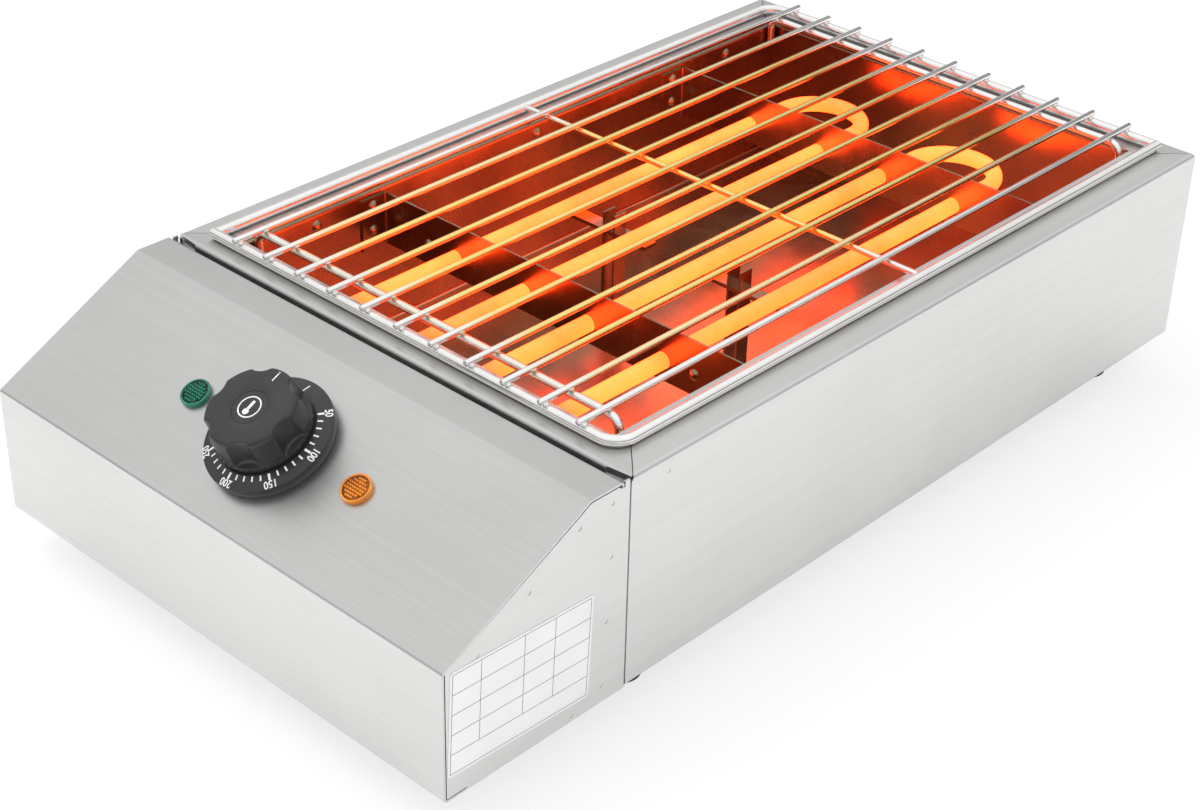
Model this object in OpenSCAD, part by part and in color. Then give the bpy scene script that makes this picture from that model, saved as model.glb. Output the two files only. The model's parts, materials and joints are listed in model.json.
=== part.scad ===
// Countertop open electric grill with a sloped control panel and a lift-off rod grate.
// Real size in millimetres, +Z up, front towards -Y, origin on the table under the middle.

/* [Body] */
// width of the sheet body across the panels
body_w = 280; // [270:2:300]
// depth of the sheet body from the front face to the rear wall
body_d = 510; // [500:2:540]
// height of the sheet body from its underside to the rim
body_h = 102; // [100:1:108]
// thickness of the stainless sheet
sheet_t = 1; // [0.8:0.1:1.2]
// open gap between neighbouring panels
seam = 0.5; // [0.3:0.05:0.6]
// inner radius of the folded edges
bend_r = 1; // [0.8:0.1:1.4]
// height of the rubber feet under the body
feet_h = 20.7; // [18:0.1:24]

/* [Control panel] */
// height of the upright face under the sloped panel
front_h = 62; // [58:1:66]
// depth at which the slope meets the flat top
slope_d = 78; // [76:1:80]
// depth of the control cover
cover_d = 96.5; // [96:0.1:96.8]
// distance of the dial up the slope
dial_s = 43.5; // [42:0.5:46]
// distance of the two lamps up the slope
lamp_s = 44; // [42:0.5:46]
// distance of each lamp from the middle
lamp_x = 50.4; // [46:0.2:56]

/* [Dial and knob] */
// radius of the fixed dial ring
dial_r = 28.6; // [28:0.2:30]
// height of the dial ring above the panel
dial_h = 8; // [7.5:0.1:8.5]
// radius of the turning grip
grip_r = 21.4; // [20.4:0.1:21.6]
// height of the grip top above the panel
grip_h = 25; // [24:0.25:27]
// number of lobes round the grip
lobe_count = 6; // [5:1:7]
// radius of the thermostat shaft
shaft_r = 3; // [2.8:0.1:3.2]
// radial clearance of the turning shaft
shaft_clear = 0.08; // [0.05:0.01:0.1]

/* [Fire box] */
// half width of the opening
open_x = 115; // [112:0.5:117]
// depth at which the opening starts
open_front = 117; // [116:0.5:118]
// depth at which the opening ends
open_rear = 489; // [486:0.5:491]
// height of the pan floor above the body underside
pan_floor = 27; // [22:1:34]
// height of the heating tubes above the body underside
tube_h = 80; // [76:0.5:82]
// radius of the heating tubes
tube_r = 4; // [3.5:0.25:4.5]
// distance of the inner heating legs from the middle
leg_in = 20; // [18:0.5:24]
// distance of the outer heating legs from the middle
leg_out = 65; // [60:0.5:70]

/* [Grate] */
// radius of the rod that forms the outer ring
ring_r = 2.5; // [2:0.25:3]
// half width of the ring to the rod centre
ring_x = 124; // [122:0.5:127]
// radius of the grate bars and the middle rod
bar_r = 1.5; // [1.25:0.25:2]
// radius of the two cross rods with legs
cross_r = 2; // [1.5:0.25:2.25]
// number of grate bars
bar_count = 11; // [7:2:13]
// distance between bar centres
bar_pitch = 21.2; // [14:0.2:21.4]
// air left under the resting grate
rest_gap = 0.3; // [0.25:0.05:0.4]
// depth of the locating legs under the rim
leg_drop = 12; // [8:0.5:14]

/* [Hidden] */
$fn = 48;
front_y = -body_d / 2;
base_z = feet_h;
rim_z = feet_h + body_h;
wall_x = body_w / 2;
inner_x = wall_x - sheet_t;
bend_in = bend_r + sheet_t;
clear_x = wall_x - bend_in - 0.1;
slope_a = atan((body_h - front_h) / slope_d);
corner_fill = 1.15;
steel = [0.80, 0.80, 0.79];
bright = [0.88, 0.88, 0.87];
dark = [0.16, 0.16, 0.17];
rubber = [0.08, 0.08, 0.08];
brass = [0.80, 0.66, 0.32];
ceramic = [0.92, 0.90, 0.85];

// depth from the front face turned into a Y position
function y_at(depth) = front_y + depth;
function unit(v) = v / norm(v);
function left_of(v) = [-v[1], v[0]];
function run_in(p, i) = unit(p[i] - p[i - 1]);
function run_out(p, i) = unit(p[i + 1] - p[i]);
function cross_of(a, b) = a[0] * b[1] - a[1] * b[0];
function turn_at(p, i) = asin(max(-1, min(1, cross_of(run_in(p, i), run_out(p, i)))));
function face_r(p, i, r) = turn_at(p, i) > 0 ? r + sheet_t : r;
function is_end(p, i) = i == 0 || i == len(p) - 1;
function trim_at(p, i, r) = is_end(p, i) ? 0 : face_r(p, i, r) * tan(abs(turn_at(p, i)) / 2);
// position of a point given beside, along and above the sloped panel
function slope_y(s, h) = front_y + s * cos(slope_a) - h * sin(slope_a);
function slope_z(s, h) = base_z + front_h + s * sin(slope_a) + h * cos(slope_a);
function slope_point(x, s, h) = [x, slope_y(s, h), slope_z(s, h)];

// one straight strip of a folded sheet, seen from the end
module strip(a, b) {
  n = left_of(unit(b - a)) * sheet_t;
  polygon([a, b, b + n, a + n]);
}

// one bend of a folded sheet, seen from the end
module bend(a, p, b, c, r) {
  intersection() {
    translate(c)
      difference() {
        circle(r + sheet_t);
        circle(r);
      }
    polygon([c, c + 3 * (a - c), c + 3 * (p - c), c + 3 * (b - c)]);
  }
}

// folded sheet seen from the end, the thickness lies to the left of the path
module folded(p, r) {
  for (i = [0 : len(p) - 2]) {
    d = unit(p[i + 1] - p[i]);
    strip(p[i] + d * trim_at(p, i, r), p[i + 1] - d * trim_at(p, i + 1, r));
  }
  for (i = [1 : len(p) - 2]) {
    a = p[i] - run_in(p, i) * trim_at(p, i, r);
    b = p[i] + run_out(p, i) * trim_at(p, i, r);
    c = a + left_of(run_in(p, i)) * sign(turn_at(p, i)) * face_r(p, i, r);
    bend(a, p[i], b, c, r);
  }
}

// draw in Y and Z, extrude evenly across X
module across(w) {
  rotate([90, 0, 90])
    linear_extrude(w, center = true)
      children();
}

// draw in X and Z, extrude along Y between two positions
module along(y0, y1) {
  translate([0, y1, 0])
    rotate([90, 0, 0])
      linear_extrude(y1 - y0)
        children();
}

module box(low, high) {
  translate(low)
    cube(high - low);
}

// put children on the sloped panel with their Z axis pointing out of it
module on_slope(x, s, h = 0) {
  translate(slope_point(x, s, h))
    rotate([slope_a, 0, 0])
      children();
}

module on_dial(h = 0) {
  on_slope(0, dial_s, h)
    children();
}

// rod from one point to another
module rod(a, b, r) {
  v = b - a;
  translate(a)
    rotate([0, acos(v[2] / norm(v)), atan2(v[1], v[0])])
      cylinder(h = norm(v), r = r);
}

// rod through a list of points, each corner a ball a little fuller than the rod
module wire(p, r) {
  for (i = [0 : len(p) - 2])
    rod(p[i], p[i + 1], r);
  for (i = [1 : len(p) - 2])
    translate(p[i])
      sphere(r * corner_fill);
}

module both_sides() {
  children();
  mirror([1, 0, 0])
    children();
}

/* control box shell */
weld_r = 1.1;
weld_depth = 0.25;
weld_marks = [[90, 95], [72, 92], [45, 76.2], [18, 61.2], [90, 70], [88, 39.5], [86, 8.6], [69, 3]];
side_flange = 12;
cover_return = 12;
cover_drop = 11;
cover_screw_x = 100;
cover_screw_r = 2;
screw_clear = 0.15;
shaft_hole_r = 5;
thermo_screw_x = 14;
thermo_screw_r = 2;
lamp_r = 5;
lamp_clear = 0.2;
flange_cut_x = wall_x - 4;

function cover_path() = [
  [y_at(cover_d), rim_z - cover_drop],
  [y_at(cover_d), rim_z],
  [y_at(slope_d), rim_z],
  [front_y, base_z + front_h],
  [front_y, base_z],
  [y_at(cover_return), base_z]
];

module control_cover() {
  color(steel)
    difference() {
      across(body_w)
        folded(cover_path(), bend_r);
      both_sides()
        box([flange_cut_x, y_at(cover_d - 3), rim_z - cover_drop - 1],
            [wall_x + 1, y_at(cover_d + 1), rim_z - bend_r - sheet_t]);
      on_dial(-5)
        cylinder(h = 10, r = shaft_hole_r);
      for (x = [-thermo_screw_x, thermo_screw_x])
        on_slope(x, dial_s, -5)
          cylinder(h = 10, r = thermo_screw_r + screw_clear);
      for (x = [-lamp_x, lamp_x])
        on_slope(x, lamp_s, -5)
          cylinder(h = 10, r = lamp_r + lamp_clear);
      for (x = [-cover_screw_x, 0, cover_screw_x])
        translate([x, y_at(cover_return / 2), base_z - 1])
          cylinder(h = 4, r = cover_screw_r + screw_clear);
    }
}

// outline of the control side, inset inside the cover by the seam
function side_in() = sheet_t + seam;
function side_front_top() = front_h - side_in() * tan(slope_a / 2);
function side_slope_end() = slope_d - side_in() * tan(slope_a / 2);

side_end = cover_d + 3.2;
side_dip = 1.2;

module control_side_plate() {
  top = rim_z - side_in();
  difference() {
    union() {
      translate([inner_x + sheet_t / 2, 0, 0])
        across(sheet_t)
          polygon([
            [y_at(side_in()), base_z + side_in()],
            [y_at(side_in()), base_z + side_front_top()],
            [y_at(slope_d + side_in() * tan(slope_a / 2)), top],
            [y_at(cover_d - 3), top],
            [y_at(cover_d - 1.6), top - side_dip],
            [y_at(cover_d + seam), top - side_dip],
            [y_at(cover_d + seam), rim_z - seam],
            [y_at(side_end), rim_z - seam],
            [y_at(side_end), base_z],
            [y_at(cover_return + seam), base_z],
            [y_at(cover_return + seam), base_z + side_in()]
          ]);
      box([wall_x - side_flange, y_at(cover_return + seam), base_z],
          [inner_x, y_at(side_end), base_z + sheet_t]);
    }
    for (p = weld_marks)
      translate([wall_x - weld_depth, y_at(p[0]), base_z + p[1]])
        rotate([0, 90, 0])
          cylinder(h = 1, r = weld_r);
  }
}

module control_side_right() {
  color(steel)
    control_side_plate();
}

gland_y = 60;
gland_z = 36;
gland_r = 7;
gland_clear = 0.2;
cord_hole_r = 4;

module gland_at(x) {
  translate([x, y_at(gland_y), base_z + gland_z])
    rotate([0, 90, 0])
      children();
}

module control_side_left() {
  color(steel)
    difference() {
      mirror([1, 0, 0])
        control_side_plate();
      gland_at(-wall_x - 1)
        cylinder(h = 4, r = gland_r + gland_clear);
    }
}

bulk_y = 99.8;
base_split = 98.8;
bulk_flange = 19;
earth_x = -105;
earth_y = 84;
earth_r = 2;
block_x = -85;
block_y = 60;
block_hole_x = 20;
block_hole_r = 1.6;

module control_base() {
  color(steel)
    difference() {
      box([-clear_x, front_y + bend_in + 0.1, base_z + sheet_t],
          [clear_x, y_at(base_split), base_z + 2 * sheet_t]);
      for (x = [-cover_screw_x, 0, cover_screw_x])
        translate([x, y_at(cover_return / 2), base_z])
          cylinder(h = 4, r = cover_screw_r + screw_clear);
      translate([earth_x, y_at(earth_y), base_z])
        cylinder(h = 4, r = earth_r + screw_clear);
    }
}

bush_r = 6;
bush_clear = 0.2;
cap_hole_r = 2.5;
cap_x = -48;
cap_z = 60;
strip_x = 127;
notch_y = 101.2;
notch_in = 100.2;
bulk_foot = 12;

module front_bulkhead() {
  foot_z = base_z + 2 * sheet_t;
  color(steel)
    difference() {
      union() {
        across(2 * inner_x)
          folded([
            [y_at(open_front), rim_z],
            [y_at(bulk_y), rim_z],
            [y_at(bulk_y), foot_z],
            [y_at(bulk_y + bulk_foot), foot_z]
          ], bend_r);
        both_sides()
          box([inner_x - sheet_t, y_at(bulk_y - bulk_flange), foot_z + 2],
              [inner_x, y_at(bulk_y + 0.5), rim_z - side_in() - 6]);
      }
      both_sides()
        translate([0, 0, rim_z - 4])
          linear_extrude(5)
            polygon([
              [strip_x, y_at(bulk_y - 1)],
              [strip_x, y_at(notch_in)],
              [wall_x, y_at(notch_y) - seam / 2],
              [wall_x - (open_front - notch_y), y_at(open_front) - seam / 2],
              [wall_x - (open_front - notch_y), y_at(open_front + 1)],
              [wall_x + 1, y_at(open_front + 1)],
              [wall_x + 1, y_at(bulk_y - 1)]
            ]);
      for (x = [-leg_out, -leg_in, leg_in, leg_out])
        translate([x, y_at(bulk_y - 1), base_z + tube_h])
          rotate([-90, 0, 0])
            cylinder(h = 4, r = bush_r + bush_clear);
      translate([cap_x, y_at(bulk_y - 1), base_z + cap_z])
        rotate([-90, 0, 0])
          cylinder(h = 4, r = cap_hole_r);
      for (x = [-base_screw_mid, base_screw_mid])
        translate([x, y_at(bulk_y + 7), foot_z - 1])
          cylinder(h = 4, r = base_screw_r + screw_clear);
    }
}

/* fire box shell */
side_start = side_end + 0.9;
rear_cut = 21;
base_screw_r = 1.8;
base_screw_mid = 90;
base_screw_depths = [150, 305, 450];

module side_panel() {
  front_w = open_front - notch_y;
  difference() {
    along(y_at(side_start), y_at(body_d))
      folded([
        [wall_x - side_flange, base_z],
        [wall_x, base_z],
        [wall_x, rim_z],
        [open_x, rim_z]
      ], bend_r);
    translate([0, 0, rim_z - bend_r - sheet_t])
      linear_extrude(4)
        polygon([
          [open_x - 1, y_at(side_start - 1)],
          [wall_x + 1, y_at(side_start - 1)],
          [wall_x + 1, y_at(notch_y) + seam / 2 - 1],
          [wall_x - front_w, y_at(open_front) + seam / 2],
          [open_x - 1, y_at(open_front) + seam / 2]
        ]);
    translate([0, 0, rim_z - bend_r - sheet_t])
      linear_extrude(4)
        polygon([
          [open_x - 1, y_at(body_d + 1)],
          [wall_x + 1, y_at(body_d + 1)],
          [wall_x, y_at(body_d) - seam / 2],
          [wall_x - rear_cut, y_at(body_d - rear_cut) - seam / 2],
          [open_x - 1, y_at(body_d - rear_cut) - seam / 2]
        ]);
    box([wall_x - side_flange - 1, y_at(body_d) - bend_in, base_z - 1],
        [wall_x - bend_in, y_at(body_d + 1), base_z + bend_in]);
    for (d = base_screw_depths)
      translate([wall_x - side_flange / 2, y_at(d), base_z - 1])
        cylinder(h = 3, r = base_screw_r + screw_clear);
    translate([wall_x - weld_depth, y_at(122), base_z + 95])
      rotate([0, 90, 0])
        cylinder(h = 1, r = weld_r);
  }
}

module side_panel_right() {
  color(steel)
    side_panel();
}

module side_panel_left() {
  color(steel)
    mirror([1, 0, 0])
      side_panel();
}

module rear_panel() {
  rear_x = inner_x - 0.1;
  low_x = wall_x - side_flange - seam;
  color(steel)
    difference() {
      union() {
        across(2 * rear_x)
          folded([
            [y_at(body_d - side_flange), base_z],
            [y_at(body_d), base_z],
            [y_at(body_d), rim_z],
            [y_at(body_d - rear_cut), rim_z]
          ], bend_r);
        both_sides()
          box([rear_x - sheet_t, y_at(body_d - 16), base_z + 6],
              [rear_x, y_at(body_d - 0.5), rim_z - 6]);
      }
      both_sides() {
        box([low_x, y_at(body_d - side_flange - 1), base_z - 1],
            [wall_x, y_at(body_d) - bend_in, base_z + 3]);
        box([clear_x, y_at(body_d) - bend_in - 1, base_z - 1],
            [wall_x, y_at(body_d + 1), base_z + bend_in + 0.1]);
      }
      both_sides()
        translate([0, 0, rim_z - bend_r - sheet_t])
          linear_extrude(4)
            polygon([
              [wall_x - rear_cut, y_at(body_d - rear_cut - 1)],
              [wall_x - rear_cut, y_at(body_d - rear_cut) + seam / 2],
              [wall_x, y_at(body_d) + seam / 2],
              [wall_x + 1, y_at(body_d) + seam / 2],
              [wall_x + 1, y_at(body_d - rear_cut - 1)]
            ]);
    }
}

foot_x = 114.6;
foot_depths = [126, 481];
foot_r = 9;
foot_screw_r = 2;

module at_feet(z) {
  for (x = [-foot_x, foot_x])
    for (d = foot_depths)
      translate([x, y_at(d), z])
        children();
}

module base_plate() {
  color(steel)
    difference() {
      box([-clear_x, y_at(base_split + seam), base_z + sheet_t],
          [clear_x, y_at(body_d) - bend_in - 0.1, base_z + 2 * sheet_t]);
      at_feet(base_z)
        cylinder(h = 4, r = foot_screw_r + screw_clear);
      both_sides()
        for (d = base_screw_depths)
          translate([wall_x - side_flange / 2, y_at(d), base_z])
            cylinder(h = 4, r = base_screw_r + screw_clear);
      for (x = [-base_screw_mid, base_screw_mid])
        translate([x, y_at(bulk_y + 7), base_z])
          cylinder(h = 4, r = base_screw_r + screw_clear);
    }
}

/* fire pan */
pan_x = open_x - sheet_t;
pan_flange = 20;
pan_bend = 1.5;
pan_foot = 10;
floor_z = base_z + pan_floor;
tube_z = base_z + tube_h;
bolt_shank = 1.5;
bolt_clear = 0.1;
rail_depths = [203, 415];
rail_wing = 16;
rail_low = 70;
rail_high = 97;
bolt_back = 9;
bolt_heights = [79.9, 92.7];
rivet_depths = [160, 305, 450];
rivet_h = 94;
face_bolt_x = 83.4;
face_bolt_h = 80.4;

// shank axes of the bolts that hold the rail wings to the pan walls
module at_wall_bolts(x) {
  for (d = rail_depths)
    for (h = bolt_heights)
      translate([x, y_at(d - bolt_back), base_z + h])
        rotate([0, 90, 0])
          children();
}

module at_rivets(x) {
  for (d = rivet_depths)
    translate([x, y_at(d), base_z + rivet_h])
      rotate([0, 90, 0])
        children();
}

module fire_pan() {
  color(bright)
    difference() {
      along(y_at(open_front) - sheet_t, y_at(open_rear) + sheet_t)
        folded([
          [pan_x + pan_flange, rim_z - sheet_t],
          [pan_x, rim_z - sheet_t],
          [pan_x, floor_z],
          [-pan_x, floor_z],
          [-pan_x, rim_z - sheet_t],
          [-pan_x - pan_flange, rim_z - sheet_t]
        ], pan_bend);
      both_sides() {
        at_wall_bolts(pan_x - 2)
          cylinder(h = 5, r = bolt_shank + bolt_clear);
        at_rivets(pan_x - 2)
          cylinder(h = 5, r = bolt_shank + bolt_clear);
      }
    }
}

module pan_end(near, way) {
  end_x = pan_x - 0.05;
  points = [
    [y_at(near) + way * pan_foot, floor_z + sheet_t],
    [y_at(near), floor_z + sheet_t],
    [y_at(near), rim_z - sheet_t],
    [y_at(near) - way * (pan_foot + 5), rim_z - sheet_t]
  ];
  back = [points[3], points[2], points[1], points[0]];
  difference() {
    across(2 * end_x)
      folded(way > 0 ? points : back, bend_r);
    both_sides()
      box([pan_x - pan_bend - 0.05, y_at(near) - 2 * pan_foot, floor_z - 1],
          [pan_x + 1, y_at(near) + 2 * pan_foot, floor_z + pan_bend + 0.05]);
  }
}

module pan_end_front() {
  color(bright)
    difference() {
      pan_end(open_front, 1);
      for (x = [-leg_out, -leg_in, leg_in, leg_out])
        translate([x, y_at(open_front - 3), tube_z])
          rotate([-90, 0, 0])
            cylinder(h = 6, r = tube_r + tube_clear);
    }
}

module pan_end_rear() {
  color(bright)
    pan_end(open_rear, -1);
}

/* heating elements */
tube_clear = 0.15;
tube_start = 88;
tube_rear = 465;
sleeve_r = 3.2;
sleeve_len = 9;
pin_r = 1.4;
pin_len = 16;
bush_head = 5;
bush_stem = 9;
nut_h = 3.5;
nut_r = 9;

module element() {
  half = (leg_out - leg_in) / 2;
  bend_y = y_at(tube_rear) - half;
  rod([leg_in, y_at(tube_start), tube_z], [leg_in, bend_y, tube_z], tube_r);
  rod([leg_out, y_at(tube_start), tube_z], [leg_out, bend_y, tube_z], tube_r);
  translate([leg_in + half, bend_y, tube_z])
    rotate_extrude(angle = 180)
      translate([half, 0])
        circle(tube_r);
}

module element_right() {
  color([0.62, 0.30, 0.20])
    element();
}

module element_left() {
  color([0.62, 0.30, 0.20])
    mirror([1, 0, 0])
      element();
}

module at_legs(depth) {
  for (x = [-leg_out, -leg_in, leg_in, leg_out])
    translate([x, y_at(depth), tube_z])
      rotate([-90, 0, 0])
        children();
}

module element_bushes() {
  color(brass)
    at_legs(bulk_y - bush_head)
      difference() {
        union() {
          cylinder(h = bush_head, r = nut_r, $fn = 6);
          cylinder(h = bush_head + bush_stem, r = bush_r);
        }
        translate([0, 0, -1])
          cylinder(h = bush_head + bush_stem + 2, r = tube_r + 0.05);
      }
}

module element_nuts() {
  color(steel)
    at_legs(bulk_y + sheet_t)
      difference() {
        cylinder(h = nut_h, r = nut_r, $fn = 6);
        translate([0, 0, -1])
          cylinder(h = nut_h + 2, r = bush_r + 0.05);
      }
}

module ceramic_sleeves() {
  color(ceramic)
    at_legs(tube_start - sleeve_len)
      difference() {
        cylinder(h = sleeve_len, r = sleeve_r);
        translate([0, 0, -1])
          cylinder(h = sleeve_len + 2, r = pin_r + 0.05);
      }
}

module terminal_pins() {
  color(bright)
    at_legs(tube_start - pin_len)
      cylinder(h = pin_len, r = pin_r);
}

module element_rail(depth) {
  translate([0, 0, base_z + rail_low])
    linear_extrude(rail_high - rail_low)
      folded([
        [pan_x, y_at(depth - rail_wing)],
        [pan_x, y_at(depth)],
        [-pan_x, y_at(depth)],
        [-pan_x, y_at(depth - rail_wing)]
      ], bend_r);
}

module rail_holes(depth) {
  at_legs(depth - 3)
    cylinder(h = 5, r = tube_r + tube_clear);
  both_sides()
    at_wall_bolts(pan_x - 3)
      cylinder(h = 5, r = bolt_shank + bolt_clear);
}

module element_rail_front() {
  color(bright)
    difference() {
      element_rail(rail_depths[0]);
      rail_holes(rail_depths[0]);
      both_sides()
        translate([face_bolt_x, y_at(rail_depths[0] - 3), base_z + face_bolt_h])
          rotate([-90, 0, 0])
            cylinder(h = 5, r = bolt_shank + bolt_clear);
    }
}

module element_rail_rear() {
  color(bright)
    difference() {
      element_rail(rail_depths[1]);
      rail_holes(rail_depths[1]);
    }
}

bracket_y = 283;
bracket_x = 39.6;
bracket_w = 8;
bracket_gap = 4;
saddle_t = 2;

// upright holder with two strips and a cross saddle that carries both legs
module element_brackets() {
  saddle_top = tube_z - tube_r;
  color(bright)
    both_sides() {
      for (x = [bracket_x - bracket_gap, bracket_x + bracket_gap - sheet_t])
        box([x, y_at(bracket_y) - bracket_w / 2, floor_z],
            [x + sheet_t, y_at(bracket_y) + bracket_w / 2, tube_z + 5]);
      box([leg_in - tube_r, y_at(bracket_y) - bracket_w / 2, saddle_top - saddle_t],
          [leg_out + tube_r, y_at(bracket_y) + bracket_w / 2, saddle_top]);
    }
}

dome_r = 2.8;
dome_h = 1.8;

// round-headed bolt, head above Z = 0 and shank below
module dome_bolt(shank) {
  ball = (dome_r * dome_r + dome_h * dome_h) / (2 * dome_h);
  intersection() {
    translate([0, 0, dome_h - ball])
      sphere(ball);
    cylinder(h = dome_h + 1, r = dome_r + 1);
  }
  translate([0, 0, -shank])
    cylinder(h = shank, r = bolt_shank);
}

module rail_bolts() {
  color(bright) {
    both_sides()
      at_wall_bolts(pan_x - sheet_t)
        rotate([180, 0, 0])
          dome_bolt(4);
    both_sides()
      translate([face_bolt_x, y_at(rail_depths[0]) - sheet_t, base_z + face_bolt_h])
        rotate([90, 0, 0])
          dome_bolt(4);
  }
}

module wall_rivets() {
  color(bright)
    both_sides()
      at_rivets(pan_x)
        rotate([180, 0, 0])
          dome_bolt(3);
}

/* lift-off grate */
ring_front = 109;
ring_rear = 498.5;
ring_bend = 10;
ring_over = 1.5;
weld_in = 1.2;
ring_z = rim_z + rest_gap + ring_r;
bar_z = ring_z + ring_r + bar_r;
cross_z = bar_z - bar_r - cross_r;
mid_z = bar_z - 2 * bar_r;
bar_front = 105.5;
bar_rear = 501.5;
cross_depths = [124, 485];
cross_x = pan_x - cross_r - 0.5;
cross_bend = 6;
mid_depth = 304.5;

module ring_corner(x, depth, turn) {
  translate([x, y_at(depth), ring_z])
    rotate([0, 0, turn])
      rotate_extrude(angle = 90)
        translate([ring_bend, 0])
          circle(ring_r);
}

// two rods, each bent once and welded at its ends to the side of the other
module grate_ring() {
  bend_x = ring_x - ring_bend;
  front = y_at(ring_front);
  rear = y_at(ring_rear);
  color(bright) {
    rod([-ring_x - ring_over, front, ring_z], [bend_x, front, ring_z], ring_r);
    ring_corner(bend_x, ring_front + ring_bend, 270);
    rod([ring_x, front + ring_bend, ring_z], [ring_x, rear + ring_over, ring_z], ring_r);
    rod([-ring_x, front + weld_in, ring_z], [-ring_x, rear - ring_bend, ring_z], ring_r);
    ring_corner(-bend_x, ring_rear - ring_bend, 90);
    rod([-bend_x, rear, ring_z], [ring_x - weld_in, rear, ring_z], ring_r);
  }
}

module grate_bars() {
  color(bright)
    for (i = [0 : bar_count - 1])
      translate([(i - (bar_count - 1) / 2) * bar_pitch, y_at(bar_front), bar_z])
        rotate([-90, 0, 0])
          cylinder(h = bar_rear - bar_front, r = bar_r);
}

// cross rod with both ends bent down as locating legs
module grate_cross_rods() {
  side = cross_x - cross_bend;
  leg_end = rim_z - leg_drop;
  color(bright)
    for (d = cross_depths) {
      rod([-side, y_at(d), cross_z], [side, y_at(d), cross_z], cross_r);
      both_sides() {
        translate([side, y_at(d), cross_z - cross_bend])
          rotate([90, 0, 0])
            rotate_extrude(angle = 90)
              translate([cross_bend, 0])
                circle(cross_r);
        rod([cross_x, y_at(d), leg_end], [cross_x, y_at(d), cross_z - cross_bend], cross_r);
      }
    }
}

module grate_mid_rod() {
  end_x = ring_x - ring_r + 0.15;
  color(bright)
    rod([-end_x, y_at(mid_depth), mid_z], [end_x, y_at(mid_depth), mid_z], bar_r);
}

/* thermostat */
plate_t = 1.5;
thermo_w = 34;
thermo_l = 30;
thermo_h = 22;

module thermostat_body() {
  color(dark)
    on_dial(-sheet_t)
      difference() {
        union() {
          translate([-20, -12, -plate_t])
            cube([40, 24, plate_t]);
          translate([-thermo_w / 2, -thermo_l / 2, -plate_t - thermo_h])
            cube([thermo_w, thermo_l, thermo_h]);
        }
        translate([0, 0, -12])
          cylinder(h = 14, r = shaft_r + shaft_clear);
        for (x = [-thermo_screw_x, thermo_screw_x])
          translate([x, 0, -8])
            cylinder(h = 10, r = thermo_screw_r + 0.05);
      }
}

skirt_seat = 5;

module thermostat_screws() {
  color(steel)
    for (x = [-thermo_screw_x, thermo_screw_x])
      on_slope(x, dial_s, skirt_seat)
        difference() {
          union() {
            cylinder(h = 2.2, r = 3.5);
            translate([0, 0, -skirt_seat - 6])
              cylinder(h = skirt_seat + 6, r = thermo_screw_r);
          }
          translate([-0.5, -4, 1.2])
            cube([1, 8, 2]);
        }
}

shaft_low = -11;
shaft_top = 21;
flat_depth = 1;

module shaft_shape(grow) {
  difference() {
    circle(shaft_r + grow);
    translate([shaft_r - flat_depth + grow, -5])
      square([5, 10]);
  }
}

module thermostat_shaft() {
  color(steel)
    on_dial(shaft_low) {
      cylinder(h = dial_h + groove / 2 - shaft_low, r = shaft_r);
      translate([0, 0, dial_h + groove / 2 - shaft_low])
        linear_extrude(shaft_top - dial_h - groove / 2)
          shaft_shape(0);
    }
}

bulb_r = 3;
bulb_len = 80;
bulb_depth = open_front - sheet_t - bulb_r;
bulb_z = base_z + 52;
clip_w = 8;

module capillary_tube() {
  bulb_end = [-bulb_len / 2, y_at(bulb_depth), bulb_z];
  hole = [cap_x, y_at(bulk_y + 6), base_z + cap_z];
  color(brass)
    wire([
      slope_point(-10, dial_s, -sheet_t - plate_t - thermo_h),
      slope_point(-10, dial_s, -sheet_t - plate_t - thermo_h - 5),
      [-24, y_at(66), base_z + 44],
      [cap_x, y_at(78), base_z + cap_z],
      hole,
      [cap_x, y_at(bulb_depth), base_z + cap_z - 4],
      [cap_x, y_at(bulb_depth), bulb_z],
      bulb_end
    ], 0.8);
}

module sensing_bulb() {
  color(brass)
    rod([-bulb_len / 2, y_at(bulb_depth), bulb_z], [bulb_len / 2, y_at(bulb_depth), bulb_z], bulb_r);
}

module bulb_clips() {
  wall = y_at(open_front) - sheet_t;
  color(steel)
    for (x = [-25, 25])
      difference() {
        union() {
          rod([x - clip_w / 2, y_at(bulb_depth), bulb_z],
              [x + clip_w / 2, y_at(bulb_depth), bulb_z], bulb_r + 0.8);
          box([x - clip_w / 2, wall - 1, bulb_z],
              [x + clip_w / 2, wall, bulb_z + 14]);
        }
        rod([x - clip_w, y_at(bulb_depth), bulb_z],
            [x + clip_w, y_at(bulb_depth), bulb_z], bulb_r + 0.02);
        box([x - clip_w, wall, bulb_z - 10],
            [x + clip_w, wall + 2, bulb_z + 10]);
      }
}

/* dial and knob */
skirt_wall = 1.4;
skirt_boss = 5;
skirt_taper = 1.1;
taper_h = 3.4;
groove = 0.8;
collar_h = 2.8;

module dial_skirt() {
  color(dark)
    on_dial()
      difference() {
        union() {
          rotate_extrude()
            polygon([
              [shaft_r + 4, dial_h - skirt_wall],
              [shaft_r + 4, dial_h],
              [grip_r + 1, dial_h],
              [dial_r - 0.5, dial_h - 1.8],
              [dial_r, dial_h - 2.3],
              [dial_r, taper_h],
              [dial_r - skirt_taper, 0],
              [dial_r - skirt_taper - skirt_wall, 0],
              [dial_r - skirt_wall, taper_h],
              [dial_r - skirt_wall, dial_h - 3],
              [grip_r + 1, dial_h - skirt_wall]
            ]);
          for (x = [-thermo_screw_x, thermo_screw_x])
            translate([x, 0, 0])
              cylinder(h = dial_h - 0.5, r = skirt_boss);
        }
        for (x = [-thermo_screw_x, thermo_screw_x]) {
          translate([x, 0, skirt_seat])
            cylinder(h = dial_h, r = 3.8);
          translate([x, 0, -1])
            cylinder(h = dial_h, r = thermo_screw_r + screw_clear);
        }
      }
}

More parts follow.
